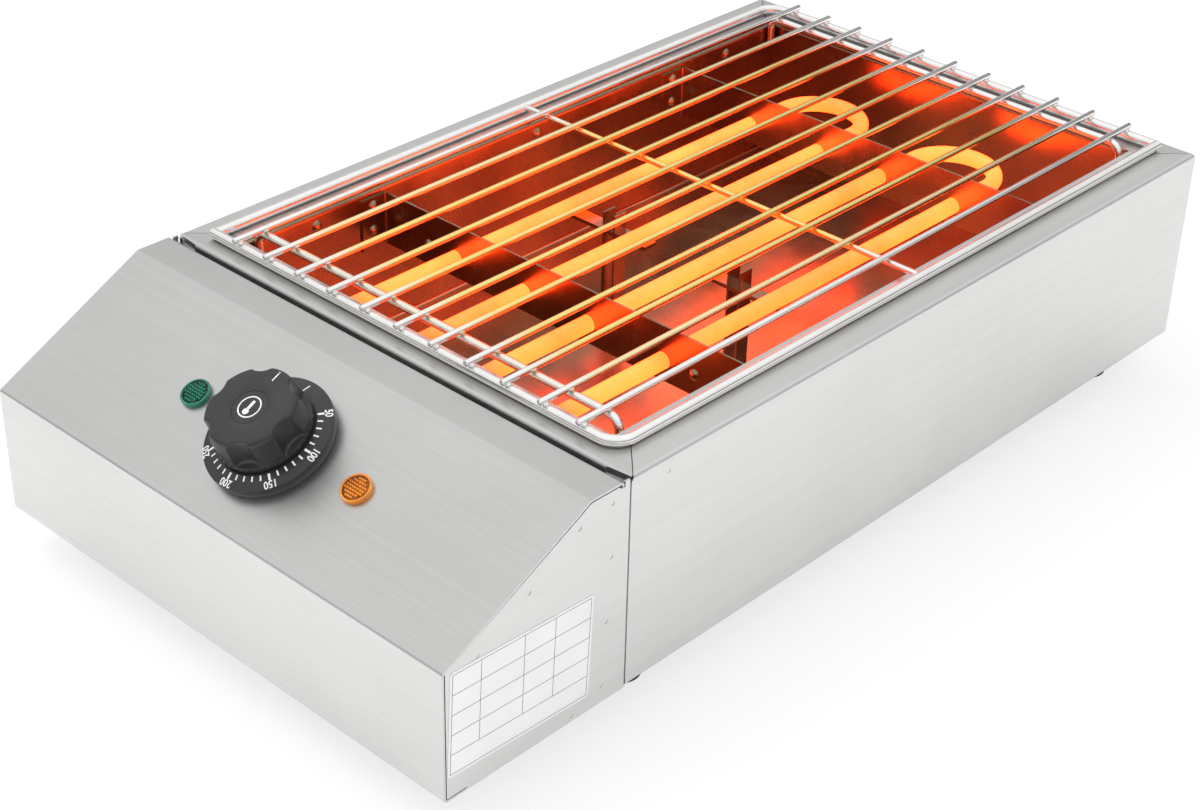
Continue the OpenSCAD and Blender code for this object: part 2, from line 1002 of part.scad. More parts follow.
flute_r = 9;
flute_out = 26.8;
grip_draft = 1;
grip_edge = 1.2;
cap_r = 8;
cap_t = 0.4;
recess = 1.1;
dish_r = 11;
hub_r = 6;
core_r = 14;
ring_in = 4.7;
ring_out = 5.3;
pointer_w = 0.7;
pointer_t = 0.8;
pointer_in = 14;
pointer_out = 18.8;

module knob_grip() {
  low = dial_h + groove;
  tall = grip_h - low;
  step = 360 / lobe_count;
  color(dark)
    on_dial(low)
      difference() {
        union() {
          cylinder(h = collar_h, r = grip_r);
          translate([0, 0, collar_h])
            cylinder(h = tall - collar_h - grip_edge, r1 = grip_r, r2 = grip_r - grip_draft);
          translate([0, 0, tall - grip_edge])
            cylinder(h = grip_edge, r1 = grip_r - grip_draft, r2 = grip_r - grip_draft - grip_edge);
        }
        for (k = [0 : lobe_count - 1])
          rotate(90 + (k + 0.5) * step)
            translate([flute_out, 0, collar_h])
              cylinder(h = tall, r = flute_r);
        translate([0, 0, tall - recess])
          cylinder(h = recess + 1, r = cap_r + 0.1);
        translate([0, 0, tall - recess + cap_t])
          cylinder(h = recess - cap_t, r1 = cap_r + 0.1, r2 = dish_r);
        translate([0, 0, -1])
          difference() {
            cylinder(h = tall - recess - 2, r = core_r);
            cylinder(h = tall, r = hub_r);
          }
        translate([0, 0, -1])
          linear_extrude(shaft_top - low + 1.5)
            shaft_shape(0.04);
        translate([-pointer_w / 2, pointer_in, tall - pointer_t])
          cube([pointer_w, pointer_out - pointer_in, pointer_t + 1]);
      }
}

module knob_pointer() {
  color([0.92, 0.92, 0.90])
    on_dial(grip_h - pointer_t)
      translate([-pointer_w / 2, pointer_in, 0])
        cube([pointer_w, pointer_out - pointer_in, pointer_t]);
}

module knob_cap() {
  color(dark)
    on_dial(grip_h - recess)
      difference() {
        cylinder(h = cap_t, r = cap_r);
        translate([0, 0, cap_t - 0.1])
          difference() {
            cylinder(h = 1, r = ring_out);
            translate([0, 0, -1])
              cylinder(h = 3, r = ring_in);
          }
      }
}

/* indicator lamps */
cap_rim = 7;
cap_tall = 2.3;
cap_edge = 0.6;
stem_r = 3.5;
stem_l = 6;
lamp_len = 24;
lamp_nut_r = 8;

module lamp_body(x) {
  color(dark)
    on_slope(x, lamp_s, -lamp_len)
      difference() {
        cylinder(h = lamp_len, r = lamp_r);
        translate([0, 0, stem_l])
          cylinder(h = lamp_len, r = stem_r + 0.1);
      }
}

module lamp_lens(x) {
  on_slope(x, lamp_s) {
    cylinder(h = cap_tall - cap_edge, r = cap_rim);
    translate([0, 0, cap_tall - cap_edge])
      cylinder(h = cap_edge, r1 = cap_rim, r2 = cap_rim - cap_edge);
    translate([0, 0, -stem_l])
      cylinder(h = stem_l, r = stem_r);
  }
}

module lamp_body_green() {
  lamp_body(-lamp_x);
}

module lamp_body_amber() {
  lamp_body(lamp_x);
}

module lamp_lens_green() {
  color([0.18, 0.50, 0.36])
    lamp_lens(-lamp_x);
}

module lamp_lens_amber() {
  color([0.90, 0.55, 0.12])
    lamp_lens(lamp_x);
}

module lamp_nuts() {
  color(steel)
    for (x = [-lamp_x, lamp_x])
      on_slope(x, lamp_s, -sheet_t - 3)
        difference() {
          cylinder(h = 3, r = lamp_nut_r, $fn = 6);
          translate([0, 0, -1])
            cylinder(h = 5, r = lamp_r + 0.05);
        }
}

/* wiring inside the control box */
block_w = 50;
block_l = 22;
block_h = 20;
lead_r = 1.2;
lamp_lead_r = 1.5;
floor_in = base_z + 2 * sheet_t;
block_top = floor_in + block_h;
way_x = [-16, 0, 16];

module terminal_block() {
  color(ceramic)
    difference() {
      box([block_x - block_w / 2, y_at(block_y) - block_l / 2, floor_in],
          [block_x + block_w / 2, y_at(block_y) + block_l / 2, block_top]);
      for (w = way_x)
        for (d = [-6, 6])
          translate([block_x + w, y_at(block_y) + d, block_top - 8])
            cylinder(h = 9, r = 3);
      for (w = [-8, 8])
        translate([block_x + w, y_at(block_y) - block_l, block_top - 6])
          cube([1.6, 2 * block_l, 7]);
    }
}

module terminal_screws() {
  color(brass)
    for (w = way_x)
      for (d = [-6, 6])
        translate([block_x + w, y_at(block_y) + d, block_top - 8])
          difference() {
            cylinder(h = 5, r = 2.9);
            translate([-3, -0.4, 4])
              cube([6, 0.8, 2]);
          }
}

thermo_back = -sheet_t - plate_t - thermo_h;
pin_y = y_at(tube_start - pin_len);

module lead_supply() {
  rear_face = y_at(block_y) + block_l / 2;
  color([0.45, 0.28, 0.16])
    wire([
      [block_x + 16, rear_face, floor_in + 8],
      [block_x + 16, rear_face + 4, floor_in + 8],
      [block_x + 20, rear_face + 4, floor_in + 34],
      [-28, y_at(60), base_z + 46],
      slope_point(-4, dial_s, thermo_back - 8),
      slope_point(-4, dial_s, thermo_back)
    ], lead_r);
}

module lead_switched() {
  fork = [8, y_at(64), base_z + 42];
  color([0.12, 0.12, 0.12]) {
    wire([
      slope_point(8, dial_s, thermo_back),
      slope_point(8, dial_s, thermo_back - 8),
      fork,
      [leg_in, y_at(66), base_z + 60],
      [leg_in, pin_y - 3, tube_z],
      [leg_in, pin_y, tube_z]
    ], lead_r);
    wire([
      fork,
      [-leg_in, y_at(67), base_z + 60],
      [-leg_in, pin_y - 3, tube_z],
      [-leg_in, pin_y, tube_z]
    ], lead_r);
  }
}

module lead_neutral() {
  rear_face = y_at(block_y) + block_l / 2;
  fork = [-leg_out, y_at(80), base_z + 25];
  color([0.20, 0.35, 0.65]) {
    wire([
      [block_x, rear_face, floor_in + 8],
      [block_x, rear_face + 4, floor_in + 8],
      fork,
      [-leg_out, pin_y - 3, tube_z],
      [-leg_out, pin_y, tube_z]
    ], lead_r);
    wire([
      fork,
      [leg_out, y_at(80), base_z + 25],
      [leg_out, pin_y - 3, tube_z],
      [leg_out, pin_y, tube_z]
    ], lead_r);
  }
}

module lamp_cable_green() {
  front_face = y_at(block_y) - block_l / 2;
  color([0.30, 0.30, 0.30])
    wire([
      slope_point(-lamp_x, lamp_s, -lamp_len),
      slope_point(-lamp_x, lamp_s, -lamp_len - 6),
      [block_x + 10, front_face - 9, base_z + 36],
      [block_x + 13, front_face - 6, floor_in + 9],
      [block_x + 13.5, front_face, floor_in + 8]
    ], lamp_lead_r);
}

module lamp_cable_amber() {
  front_face = y_at(block_y) - block_l / 2;
  color([0.30, 0.30, 0.30])
    wire([
      slope_point(lamp_x, lamp_s, -lamp_len),
      slope_point(lamp_x, lamp_s, -lamp_len - 6),
      [44, front_face - 12, base_z + 34],
      [block_x + 30, front_face - 14, base_z + 20],
      [block_x + 20, front_face - 6, floor_in + 8],
      [block_x + 20, front_face, floor_in + 8]
    ], lamp_lead_r);
}

module earth_lead() {
  rear_face = y_at(block_y) + block_l / 2;
  color([0.35, 0.55, 0.20])
    wire([
      [block_x - 16, rear_face, floor_in + 8],
      [block_x - 16, rear_face + 4, floor_in + 8],
      [earth_x, y_at(earth_y) - 6.5, floor_in + 1.6],
      [earth_x, y_at(earth_y) - 3.5, floor_in + 1.6]
    ], lead_r);
}

module earth_screw() {
  color(brass)
    translate([earth_x, y_at(earth_y), base_z]) {
      translate([0, 0, 2 * sheet_t])
        cylinder(h = 3.2, r = 4, $fn = 6);
      cylinder(h = 9, r = earth_r);
    }
}

gland_flange = 2.4;
gland_flange_r = 10;
gland_len = 14;

module cord_gland() {
  color(dark)
    difference() {
      union() {
        gland_at(-wall_x - gland_flange)
          cylinder(h = gland_flange, r = gland_flange_r);
        gland_at(-wall_x - 0.1)
          cylinder(h = gland_len, r = gland_r);
      }
      gland_at(-wall_x - gland_flange - 1)
        cylinder(h = gland_len + gland_flange + 3, r = cord_hole_r);
    }
}

module gland_nut() {
  color(dark)
    difference() {
      gland_at(-inner_x)
        cylinder(h = 4, r = 11, $fn = 6);
      gland_at(-inner_x - 1)
        cylinder(h = 6, r = gland_r + 0.05);
    }
}

label_t = 0.3;
label_w = 76.5;
label_h = 49;
label_tilt = -2.6;
label_y = 41.2;
label_z = 34.2;

module rating_label() {
  color([0.86, 0.87, 0.87])
    translate([wall_x, y_at(label_y), base_z + label_z])
      rotate([label_tilt, 0, 0])
        translate([0, -label_w / 2, -label_h / 2])
          cube([label_t, label_w, label_h]);
}

/* feet and screws */
foot_recess = 8;
foot_recess_r = 5;

module rubber_feet() {
  tall = base_z + sheet_t;
  color(rubber)
    at_feet(0)
      difference() {
        union() {
          cylinder(h = 1, r1 = foot_r - 1, r2 = foot_r);
          translate([0, 0, 1])
            cylinder(h = tall - 1, r = foot_r);
        }
        translate([0, 0, -1])
          cylinder(h = foot_recess + 1, r = foot_recess_r);
        cylinder(h = tall + 1, r = foot_screw_r + screw_clear);
      }
}

module foot_screws() {
  color(steel)
    at_feet(foot_recess) {
      translate([0, 0, -3])
        cylinder(h = 3, r = 4);
      cylinder(h = base_z + 2 * sheet_t + 4.5 - foot_recess, r = foot_screw_r);
    }
}

module foot_nuts() {
  color(steel)
    at_feet(base_z + 2 * sheet_t)
      difference() {
        cylinder(h = 3.2, r = 4, $fn = 6);
        translate([0, 0, -1])
          cylinder(h = 6, r = foot_screw_r + 0.05);
      }
}

// pan-head screw pushed up from below, underside of the head at Z = 0
module up_screw(r, long) {
  translate([0, 0, -1.8])
    cylinder(h = 1.8, r1 = 2 * r - 0.6, r2 = 2 * r);
  cylinder(h = long, r = r);
}

module cover_screws() {
  color(steel)
    for (x = [-cover_screw_x, 0, cover_screw_x])
      translate([x, y_at(cover_return / 2), base_z])
        up_screw(cover_screw_r, 6);
}

module base_screws() {
  color(steel) {
    both_sides()
      for (d = base_screw_depths)
        translate([wall_x - side_flange / 2, y_at(d), base_z])
          up_screw(base_screw_r, 6);
    for (x = [-base_screw_mid, base_screw_mid])
      translate([x, y_at(bulk_y + 7), base_z + sheet_t])
        up_screw(base_screw_r, 6);
  }
}

control_cover();
control_side_right();
control_side_left();
control_base();
front_bulkhead();
side_panel_right();
side_panel_left();
rear_panel();
base_plate();
fire_pan();
pan_end_front();
pan_end_rear();
element_right();
element_left();
element_bushes();
element_nuts();
ceramic_sleeves();
terminal_pins();
element_rail_front();
element_rail_rear();
element_brackets();
rail_bolts();
wall_rivets();
grate_ring();
grate_bars();
grate_cross_rods();
grate_mid_rod();
thermostat_body();
thermostat_screws();
thermostat_shaft();
capillary_tube();
sensing_bulb();
bulb_clips();
dial_skirt();
knob_grip();
knob_pointer();
knob_cap();
lamp_body_green();
lamp_body_amber();
lamp_lens_green();
lamp_lens_amber();
lamp_nuts();
terminal_block();
terminal_screws();
lead_supply();
lead_switched();
lead_neutral();
lamp_cable_green();
lamp_cable_amber();
earth_lead();
earth_screw();
cord_gland();
gland_nut();
rating_label();
rubber_feet();
foot_screws();
foot_nuts();
cover_screws();
base_screws();
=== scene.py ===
import bpy
import bmesh
import json
import math
from mathutils import Matrix, Vector


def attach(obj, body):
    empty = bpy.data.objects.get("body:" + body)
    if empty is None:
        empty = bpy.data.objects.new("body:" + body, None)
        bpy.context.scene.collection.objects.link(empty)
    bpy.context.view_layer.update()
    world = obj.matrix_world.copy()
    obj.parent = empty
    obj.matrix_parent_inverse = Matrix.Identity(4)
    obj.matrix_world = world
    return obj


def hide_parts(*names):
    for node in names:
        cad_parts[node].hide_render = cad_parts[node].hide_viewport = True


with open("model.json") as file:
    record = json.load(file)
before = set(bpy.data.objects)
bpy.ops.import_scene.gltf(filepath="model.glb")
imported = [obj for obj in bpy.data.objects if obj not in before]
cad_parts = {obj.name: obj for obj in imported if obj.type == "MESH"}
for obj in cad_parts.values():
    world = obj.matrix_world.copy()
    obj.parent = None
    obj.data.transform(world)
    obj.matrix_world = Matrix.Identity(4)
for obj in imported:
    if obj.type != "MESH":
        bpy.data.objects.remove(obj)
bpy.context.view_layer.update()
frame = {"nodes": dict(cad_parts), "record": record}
nodes = frame["nodes"]
mm = 0.001


# shared mesh helpers
def say(text):
    print("stage:", text, flush=True)


def finishMesh(name, bm, materials, angle=32):
    bmesh.ops.recalc_face_normals(bm, faces=bm.faces)
    mesh = bpy.data.meshes.new(name)
    bm.to_mesh(mesh)
    bm.free()
    mesh.shade_smooth()
    mesh.set_sharp_from_angle(angle=math.radians(angle))
    obj = bpy.data.objects.new(name, mesh)
    bpy.context.scene.collection.objects.link(obj)
    for m in materials:
        mesh.materials.append(m)
    return obj


def place(obj, body, slotName, *replaced):
    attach(obj, body)
    if replaced:
        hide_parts(*replaced)
    return obj


def loft(bm, rings):
    rows = [[bm.verts.new(p) for p in ring] for ring in rings]
    n = len(rows[0])
    for a, b in zip(rows, rows[1:]):
        for i in range(n):
            j = (i + 1) % n
            bm.faces.new((a[i], a[j], b[j], b[i]))
    bm.faces.new(list(reversed(rows[0])))
    bm.faces.new(rows[-1])


# turned shape; an open profile is closed by a flat end at its first and last point
def lathe(bm, profile, toWorld, steps=96, closedLoop=True):
    rows = []
    for r, h in profile:
        row = []
        for i in range(steps):
            a = 2 * math.pi * i / steps
            row.append(bm.verts.new(toWorld(Vector((r * math.cos(a), r * math.sin(a), h)))))
        rows.append(row)
    if closedLoop:
        rows.append(rows[0])
    for a, b in zip(rows, rows[1:]):
        for i in range(steps):
            j = (i + 1) % steps
            bm.faces.new((a[i], a[j], b[j], b[i]))
    if not closedLoop:
        bm.faces.new(rows[0])
        bm.faces.new(rows[-1])


# round rod along a line of points; a dome rounds off both ends by that length
def sweep(bm, points, radius, sides=20, dome=0.0):
    pts = [Vector(p) for p in points]
    tangents = []
    for i in range(len(pts)):
        a = pts[max(i - 1, 0)]
        b = pts[min(i + 1, len(pts) - 1)]
        tangents.append((b - a).normalized())
    ref = Vector((0, 0, 1)) if abs(tangents[0].z) < 0.9 else Vector((1, 0, 0))
    side = tangents[0].cross(ref).normalized()
    domeAngles = [math.radians(q) for q in (80, 60, 35)] if dome > 0 else []
    rings = []

    def ringAt(p, t, r):
        nonlocal side
        side = (side - t * side.dot(t)).normalized()
        up = t.cross(side)
        return [p + (side * math.cos(q) + up * math.sin(q)) * r
                for q in [2 * math.pi * k / sides for k in range(sides)]]
    for q in domeAngles:
        end = pts[0] - tangents[0] * dome * math.sin(q)
        rings.append(ringAt(end, tangents[0], radius * math.cos(q)))
    for p, t in zip(pts, tangents):
        rings.append(ringAt(p, t, radius))
    for q in reversed(domeAngles):
        end = pts[-1] + tangents[-1] * dome * math.sin(q)
        rings.append(ringAt(end, tangents[-1], radius * math.cos(q)))
    loft(bm, rings)


# path with its corners rounded, each by its own radius
def filletPath(points, radii, steps=8):
    out = []
    n = len(points)
    for i, p in enumerate(points):
        r = radii[i]
        if i in (0, n - 1) or r <= 0:
            out.append(Vector(p))
            continue
        p = Vector(p)
        a = (Vector(points[i - 1]) - p).normalized()
        b = (Vector(points[i + 1]) - p).normalized()
        half = a.angle(b) / 2
        t = r / math.tan(half)
        c = p + (a + b).normalized() * r / math.sin(half)
        s, e = p + a * t - c, p + b * t - c
        total = s.angle(e)
        for k in range(steps + 1):
            f = k / steps
            w = (math.sin((1 - f) * total) * s + math.sin(f * total) * e) / math.sin(total)
            out.append(c + w)
    return out


def softEdges(bm, edges, width):
    bmesh.ops.bevel(bm, geom=edges, offset=width, segments=2, affect="EDGES", profile=0.5,
                    clamp_overlap=True)


# put the result of the modifiers in place of the mesh
def applyModifiers(obj, angle):
    dg = bpy.context.evaluated_depsgraph_get()
    made = bpy.data.meshes.new_from_object(obj.evaluated_get(dg))
    old = obj.data
    obj.modifiers.clear()
    obj.data = made
    bpy.data.meshes.remove(old)
    made.shade_smooth()
    made.set_sharp_from_angle(angle=math.radians(angle))


def cutHoles(obj, cutters):
    for c in cutters:
        mod = obj.modifiers.new("cut", "BOOLEAN")
        mod.operation = "DIFFERENCE"
        mod.solver = "EXACT"
        mod.object = c
    applyModifiers(obj, 32)
    for c in cutters:
        bpy.data.objects.remove(c)


# the machine's own measures, in millimetres
body = dict(width=280, depth=510, baseZ=20.7, rimZ=122.7, frontHeight=62, slopeDepth=78,
            coverDepth=96.5, sheet=1.0, dialS=43.5, lampS=44, lampX=50.4, screwX=14)
slopeAngle = math.atan((body["rimZ"] - body["baseZ"] - body["frontHeight"]) / body["slopeDepth"])


# depth behind the front face turned into a Y position
def yAt(depth):
    return depth - body["depth"] / 2


# placing on the sloped panel, at x beside the middle and s up the slope, Z out of the panel
def onSlope(x, s):
    origin = Vector((x, yAt(0) + s * math.cos(slopeAngle),
                     body["baseZ"] + body["frontHeight"] + s * math.sin(slopeAngle)))
    turn = Matrix.Rotation(slopeAngle, 3, "X")

    def toWorld(p):
        return (origin + turn @ Vector(p)) * mm
    return toWorld


# materials
def node(tree, kind, **values):
    made = tree.nodes.new(kind)
    for key, value in values.items():
        setattr(made, key, value)
    return made


def wire(tree, a, b):
    tree.links.new(a, b)


def shaderGroup(name, inputs, outputs):
    tree = bpy.data.node_groups.new(name, "ShaderNodeTree")
    for n, kind, value in inputs:
        s = tree.interface.new_socket(n, in_out="INPUT", socket_type=kind)
        s.default_value = value
    for n, kind in outputs:
        tree.interface.new_socket(n, in_out="OUTPUT", socket_type=kind)
    return tree, node(tree, "NodeGroupInput"), node(tree, "NodeGroupOutput")


# fine drawn lines, long along one axis, plus soft wiping marks
grainTree, gIn, gOut = shaderGroup("brushed grain", [
    ("Stretch", "NodeSocketVector", (20, 2600, 2600)),
    ("Roughness", "NodeSocketFloat", 0.3),
    ("Spread", "NodeSocketFloat", 0.12)],
    [("Roughness", "NodeSocketFloat"), ("Height", "NodeSocketFloat"), ("Cloud", "NodeSocketFloat")])
coord = node(grainTree, "ShaderNodeTexCoord")
scaled = node(grainTree, "ShaderNodeVectorMath", operation="MULTIPLY")
wire(grainTree, coord.outputs["Object"], scaled.inputs[0])
wire(grainTree, gIn.outputs["Stretch"], scaled.inputs[1])
lines = node(grainTree, "ShaderNodeTexNoise")
lines.inputs["Scale"].default_value = 1
lines.inputs["Detail"].default_value = 3
wire(grainTree, scaled.outputs[0], lines.inputs["Vector"])
wider = node(grainTree, "ShaderNodeVectorMath", operation="SCALE")
wider.inputs["Scale"].default_value = 0.22
wire(grainTree, scaled.outputs[0], wider.inputs[0])
streak = node(grainTree, "ShaderNodeTexNoise")
streak.inputs["Scale"].default_value = 1
streak.inputs["Detail"].default_value = 4
wire(grainTree, wider.outputs[0], streak.inputs["Vector"])
cloud = node(grainTree, "ShaderNodeTexNoise")
cloud.inputs["Scale"].default_value = 14
cloud.inputs["Detail"].default_value = 4
wire(grainTree, coord.outputs["Object"], cloud.inputs["Vector"])
patch = node(grainTree, "ShaderNodeMix", data_type="FLOAT")
patch.inputs[0].default_value = 0.4
wire(grainTree, cloud.outputs["Fac"], patch.inputs[2])
wire(grainTree, streak.outputs["Fac"], patch.inputs[3])
mixed = node(grainTree, "ShaderNodeMath", operation="MULTIPLY")
wire(grainTree, lines.outputs["Fac"], mixed.inputs[0])
wire(grainTree, gIn.outputs["Spread"], mixed.inputs[1])
softer = node(grainTree, "ShaderNodeMath", operation="MULTIPLY")
wire(grainTree, cloud.outputs["Fac"], softer.inputs[0])
wire(grainTree, gIn.outputs["Spread"], softer.inputs[1])
added = node(grainTree, "ShaderNodeMath", operation="ADD")
wire(grainTree, mixed.outputs[0], added.inputs[0])
wire(grainTree, softer.outputs[0], added.inputs[1])
total = node(grainTree, "ShaderNodeMath", operation="ADD")
wire(grainTree, added.outputs[0], total.inputs[0])
wire(grainTree, gIn.outputs["Roughness"], total.inputs[1])
wire(grainTree, total.outputs[0], gOut.inputs["Roughness"])
wire(grainTree, lines.outputs["Fac"], gOut.inputs["Height"])
wire(grainTree, patch.outputs[0], gOut.inputs["Cloud"])

# small random pits and grime for moulded and rough parts
pitTree, pIn, pOut = shaderGroup("moulded skin", [
    ("Scale", "NodeSocketFloat", 900.0),
    ("Roughness", "NodeSocketFloat", 0.5),
    ("Spread", "NodeSocketFloat", 0.1)],
    [("Roughness", "NodeSocketFloat"), ("Height", "NodeSocketFloat"), ("Cloud", "NodeSocketFloat")])
coord = node(pitTree, "ShaderNodeTexCoord")
fine = node(pitTree, "ShaderNodeTexNoise")
fine.inputs["Detail"].default_value = 4
wire(pitTree, coord.outputs["Object"], fine.inputs["Vector"])
wire(pitTree, pIn.outputs["Scale"], fine.inputs["Scale"])
wide = node(pitTree, "ShaderNodeTexNoise")
wide.inputs["Scale"].default_value = 45
wire(pitTree, coord.outputs["Object"], wide.inputs["Vector"])
part = node(pitTree, "ShaderNodeMath", operation="MULTIPLY")
wire(pitTree, wide.outputs["Fac"], part.inputs[0])
wire(pitTree, pIn.outputs["Spread"], part.inputs[1])
total = node(pitTree, "ShaderNodeMath", operation="ADD")
wire(pitTree, part.outputs[0], total.inputs[0])
wire(pitTree, pIn.outputs["Roughness"], total.inputs[1])
wire(pitTree, total.outputs[0], pOut.inputs["Roughness"])
wire(pitTree, fine.outputs["Fac"], pOut.inputs["Height"])
wire(pitTree, wide.outputs["Fac"], pOut.inputs["Cloud"])


def newMaterial(name):
    mat = bpy.data.materials.new(name)
    mat.use_nodes = True
    tree = mat.node_tree
    tree.nodes.clear()
    out = node(tree, "ShaderNodeOutputMaterial")
    shade = node(tree, "ShaderNodeBsdfPrincipled")
    wire(tree, shade.outputs[0], out.inputs["Surface"])
    return mat, tree, shade


def ramp(tree, source, stops):
    made = node(tree, "ShaderNodeValToRGB")
    line = made.color_ramp
    while len(line.elements) < len(stops):
        line.elements.new(0.5)
    for e, (pos, col) in zip(line.elements, stops):
        e.position = pos
        e.color = (*col, 1)
    wire(tree, source, made.inputs[0])
    return made.outputs[0]


def metal(name, light, dark, stretch, rough, spread, bump=0.02, distance=0.00004):
    mat, tree, shade = newMaterial(name)
    grain = node(tree, "ShaderNodeGroup", node_tree=grainTree)
    grain.inputs["Stretch"].default_value = stretch
    grain.inputs["Roughness"].default_value = rough
    grain.inputs["Spread"].default_value = spread
    col = ramp(tree, grain.outputs["Cloud"], [(0.36, dark), (0.64, light)])
    wire(tree, col, shade.inputs["Base Color"])
    wire(tree, grain.outputs["Roughness"], shade.inputs["Roughness"])
    shade.inputs["Metallic"].default_value = 1
    relief = node(tree, "ShaderNodeBump")
    relief.inputs["Strength"].default_value = bump
    relief.inputs["Distance"].default_value = distance
    wire(tree, grain.outputs["Height"], relief.inputs["Height"])
    wire(tree, relief.outputs[0], shade.inputs["Normal"])
    return mat


def moulded(name, light, dark, scale, rough, spread, bump=0.15, distance=0.0001, coat=0.0):
    mat, tree, shade = newMaterial(name)
    skin = node(tree, "ShaderNodeGroup", node_tree=pitTree)
    skin.inputs["Scale"].default_value = scale
    skin.inputs["Roughness"].default_value = rough
    skin.inputs["Spread"].default_value = spread
    col = ramp(tree, skin.outputs["Cloud"], [(0.3, dark), (0.7, light)])
    wire(tree, col, shade.inputs["Base Color"])
    wire(tree, skin.outputs["Roughness"], shade.inputs["Roughness"])
    shade.inputs["Coat Weight"].default_value = coat
    relief = node(tree, "ShaderNodeBump")
    relief.inputs["Strength"].default_value = bump
    relief.inputs["Distance"].default_value = distance
    wire(tree, skin.outputs["Height"], relief.inputs["Height"])
    wire(tree, relief.outputs[0], shade.inputs["Normal"])
    return mat


# bright rods, with the warm light of the tubes over the pan painted into their colour by position: a
# painted reflection, which stays when the grate is lifted
def rodMaterial():
    mat = metal("bright rod", (0.97, 0.96, 0.94), (0.90, 0.89, 0.87), (700, 700, 700), 0.08, 0.08, 0.04)
    tree = mat.node_tree
    shade = next(n for n in tree.nodes if n.type == "BSDF_PRINCIPLED")
    plain = shade.inputs["Base Color"].links[0].from_socket
    coord = node(tree, "ShaderNodeTexCoord")
    split = node(tree, "ShaderNodeSeparateXYZ")
    wire(tree, coord.outputs["Object"], split.inputs[0])
    beside = node(tree, "ShaderNodeMath", operation="ABSOLUTE")
    wire(tree, split.outputs["X"], beside.inputs[0])
    paintedGlowMasks = []
    # where the painted glow is full and where it has faded out
    paintedGlowZone = dict(halfFull=70, halfNone=112, frontFull=150, frontNone=112, rearFull=440, rearNone=480)
    for source, near, far in ((beside.outputs[0], paintedGlowZone["halfFull"], paintedGlowZone["halfNone"]),
                              (split.outputs["Y"], yAt(paintedGlowZone["frontFull"]), yAt(paintedGlowZone["frontNone"])),
                              (split.outputs["Y"], yAt(paintedGlowZone["rearFull"]), yAt(paintedGlowZone["rearNone"]))):
        fade = node(tree, "ShaderNodeMapRange", interpolation_type="SMOOTHSTEP")
        fade.inputs["From Min"].default_value = far * mm
        fade.inputs["From Max"].default_value = near * mm
        wire(tree, source, fade.inputs["Value"])
        paintedGlowMasks.append(fade.outputs[0])
    both = node(tree, "ShaderNodeMath", operation="MULTIPLY")
    wire(tree, paintedGlowMasks[0], both.inputs[0])
    wire(tree, paintedGlowMasks[1], both.inputs[1])
    paintedGlowShare = node(tree, "ShaderNodeMath", operation="MULTIPLY")
    wire(tree, both.outputs[0], paintedGlowShare.inputs[0])
    wire(tree, paintedGlowMasks[2], paintedGlowShare.inputs[1])
    paintedGlowMix = node(tree, "ShaderNodeMix", data_type="RGBA")
    wire(tree, paintedGlowShare.outputs[0], paintedGlowMix.inputs[0])
    wire(tree, plain, paintedGlowMix.inputs[6])
    # colour of the painted glow from the red-hot tubes
    paintedGlowMix.inputs[7].default_value = (1.0, 0.76, 0.26, 1)
    wire(tree, paintedGlowMix.outputs[2], shade.inputs["Base Color"])
    return mat


mats = {
    "stainless": metal("stainless across", (0.67, 0.67, 0.66), (0.61, 0.61, 0.60),
                       (14, 3000, 3000), 0.26, 0.12),
    "stainlessLong": metal("stainless along", (0.72, 0.72, 0.71), (0.67, 0.67, 0.66),
                           (3000, 14, 3000), 0.26, 0.12),
    # the pan's warm yellow-brown colour is painted glow from the red-hot tubes, laid over the whole pan
    "polished_steel": metal("polished pan with painted glow", (0.46, 0.35, 0.20), (0.25, 0.18, 0.14),
                            (90, 90, 90), 0.10, 0.16, 0.05, 0.0006),
    "grate_steel": rodMaterial(),
    "brass": metal("brass", (0.72, 0.52, 0.22), (0.58, 0.40, 0.16), (400, 400, 400), 0.25, 0.15),
    "zinc_steel": metal("zinc plate", (0.62, 0.62, 0.60), (0.50, 0.50, 0.48),
                        (500, 500, 500), 0.28, 0.15),
    "label_foil": moulded("label foil", (0.86, 0.86, 0.86), (0.82, 0.82, 0.82), 1500, 0.45, 0.1, 0.03),
    "ceramic": moulded("glazed ceramic", (0.80, 0.78, 0.72), (0.74, 0.71, 0.64),
                       400, 0.25, 0.1, 0.05, coat=0.4),
    "black_plastic": moulded("dark moulding", (0.027, 0.027, 0.028), (0.019, 0.019, 0.020),
                             2600, 0.25, 0.10, 0.12),
    "white_inlay": moulded("white print", (0.82, 0.82, 0.80), (0.76, 0.76, 0.74), 900, 0.4, 0.1),
    "brown_lead": moulded("brown lead", (0.22, 0.09, 0.035), (0.17, 0.07, 0.03), 900, 0.45, 0.1),
    "black_lead": moulded("black lead", (0.02, 0.02, 0.02), (0.015, 0.015, 0.015), 900, 0.4, 0.1),
    "blue_lead": moulded("blue lead", (0.05, 0.12, 0.42), (0.04, 0.09, 0.34), 900, 0.4, 0.1),
    "grey_cable": moulded("grey cable", (0.10, 0.10, 0.10), (0.08, 0.08, 0.08), 900, 0.45, 0.1),
    "earth_green": moulded("earth lead", (0.12, 0.32, 0.05), (0.09, 0.25, 0.04), 900, 0.4, 0.1),
    "rubber": moulded("foot rubber", (0.014, 0.014, 0.014), (0.009, 0.009, 0.009),
                      1500, 0.55, 0.2, 0.35),
}
say("metals and mouldings made")


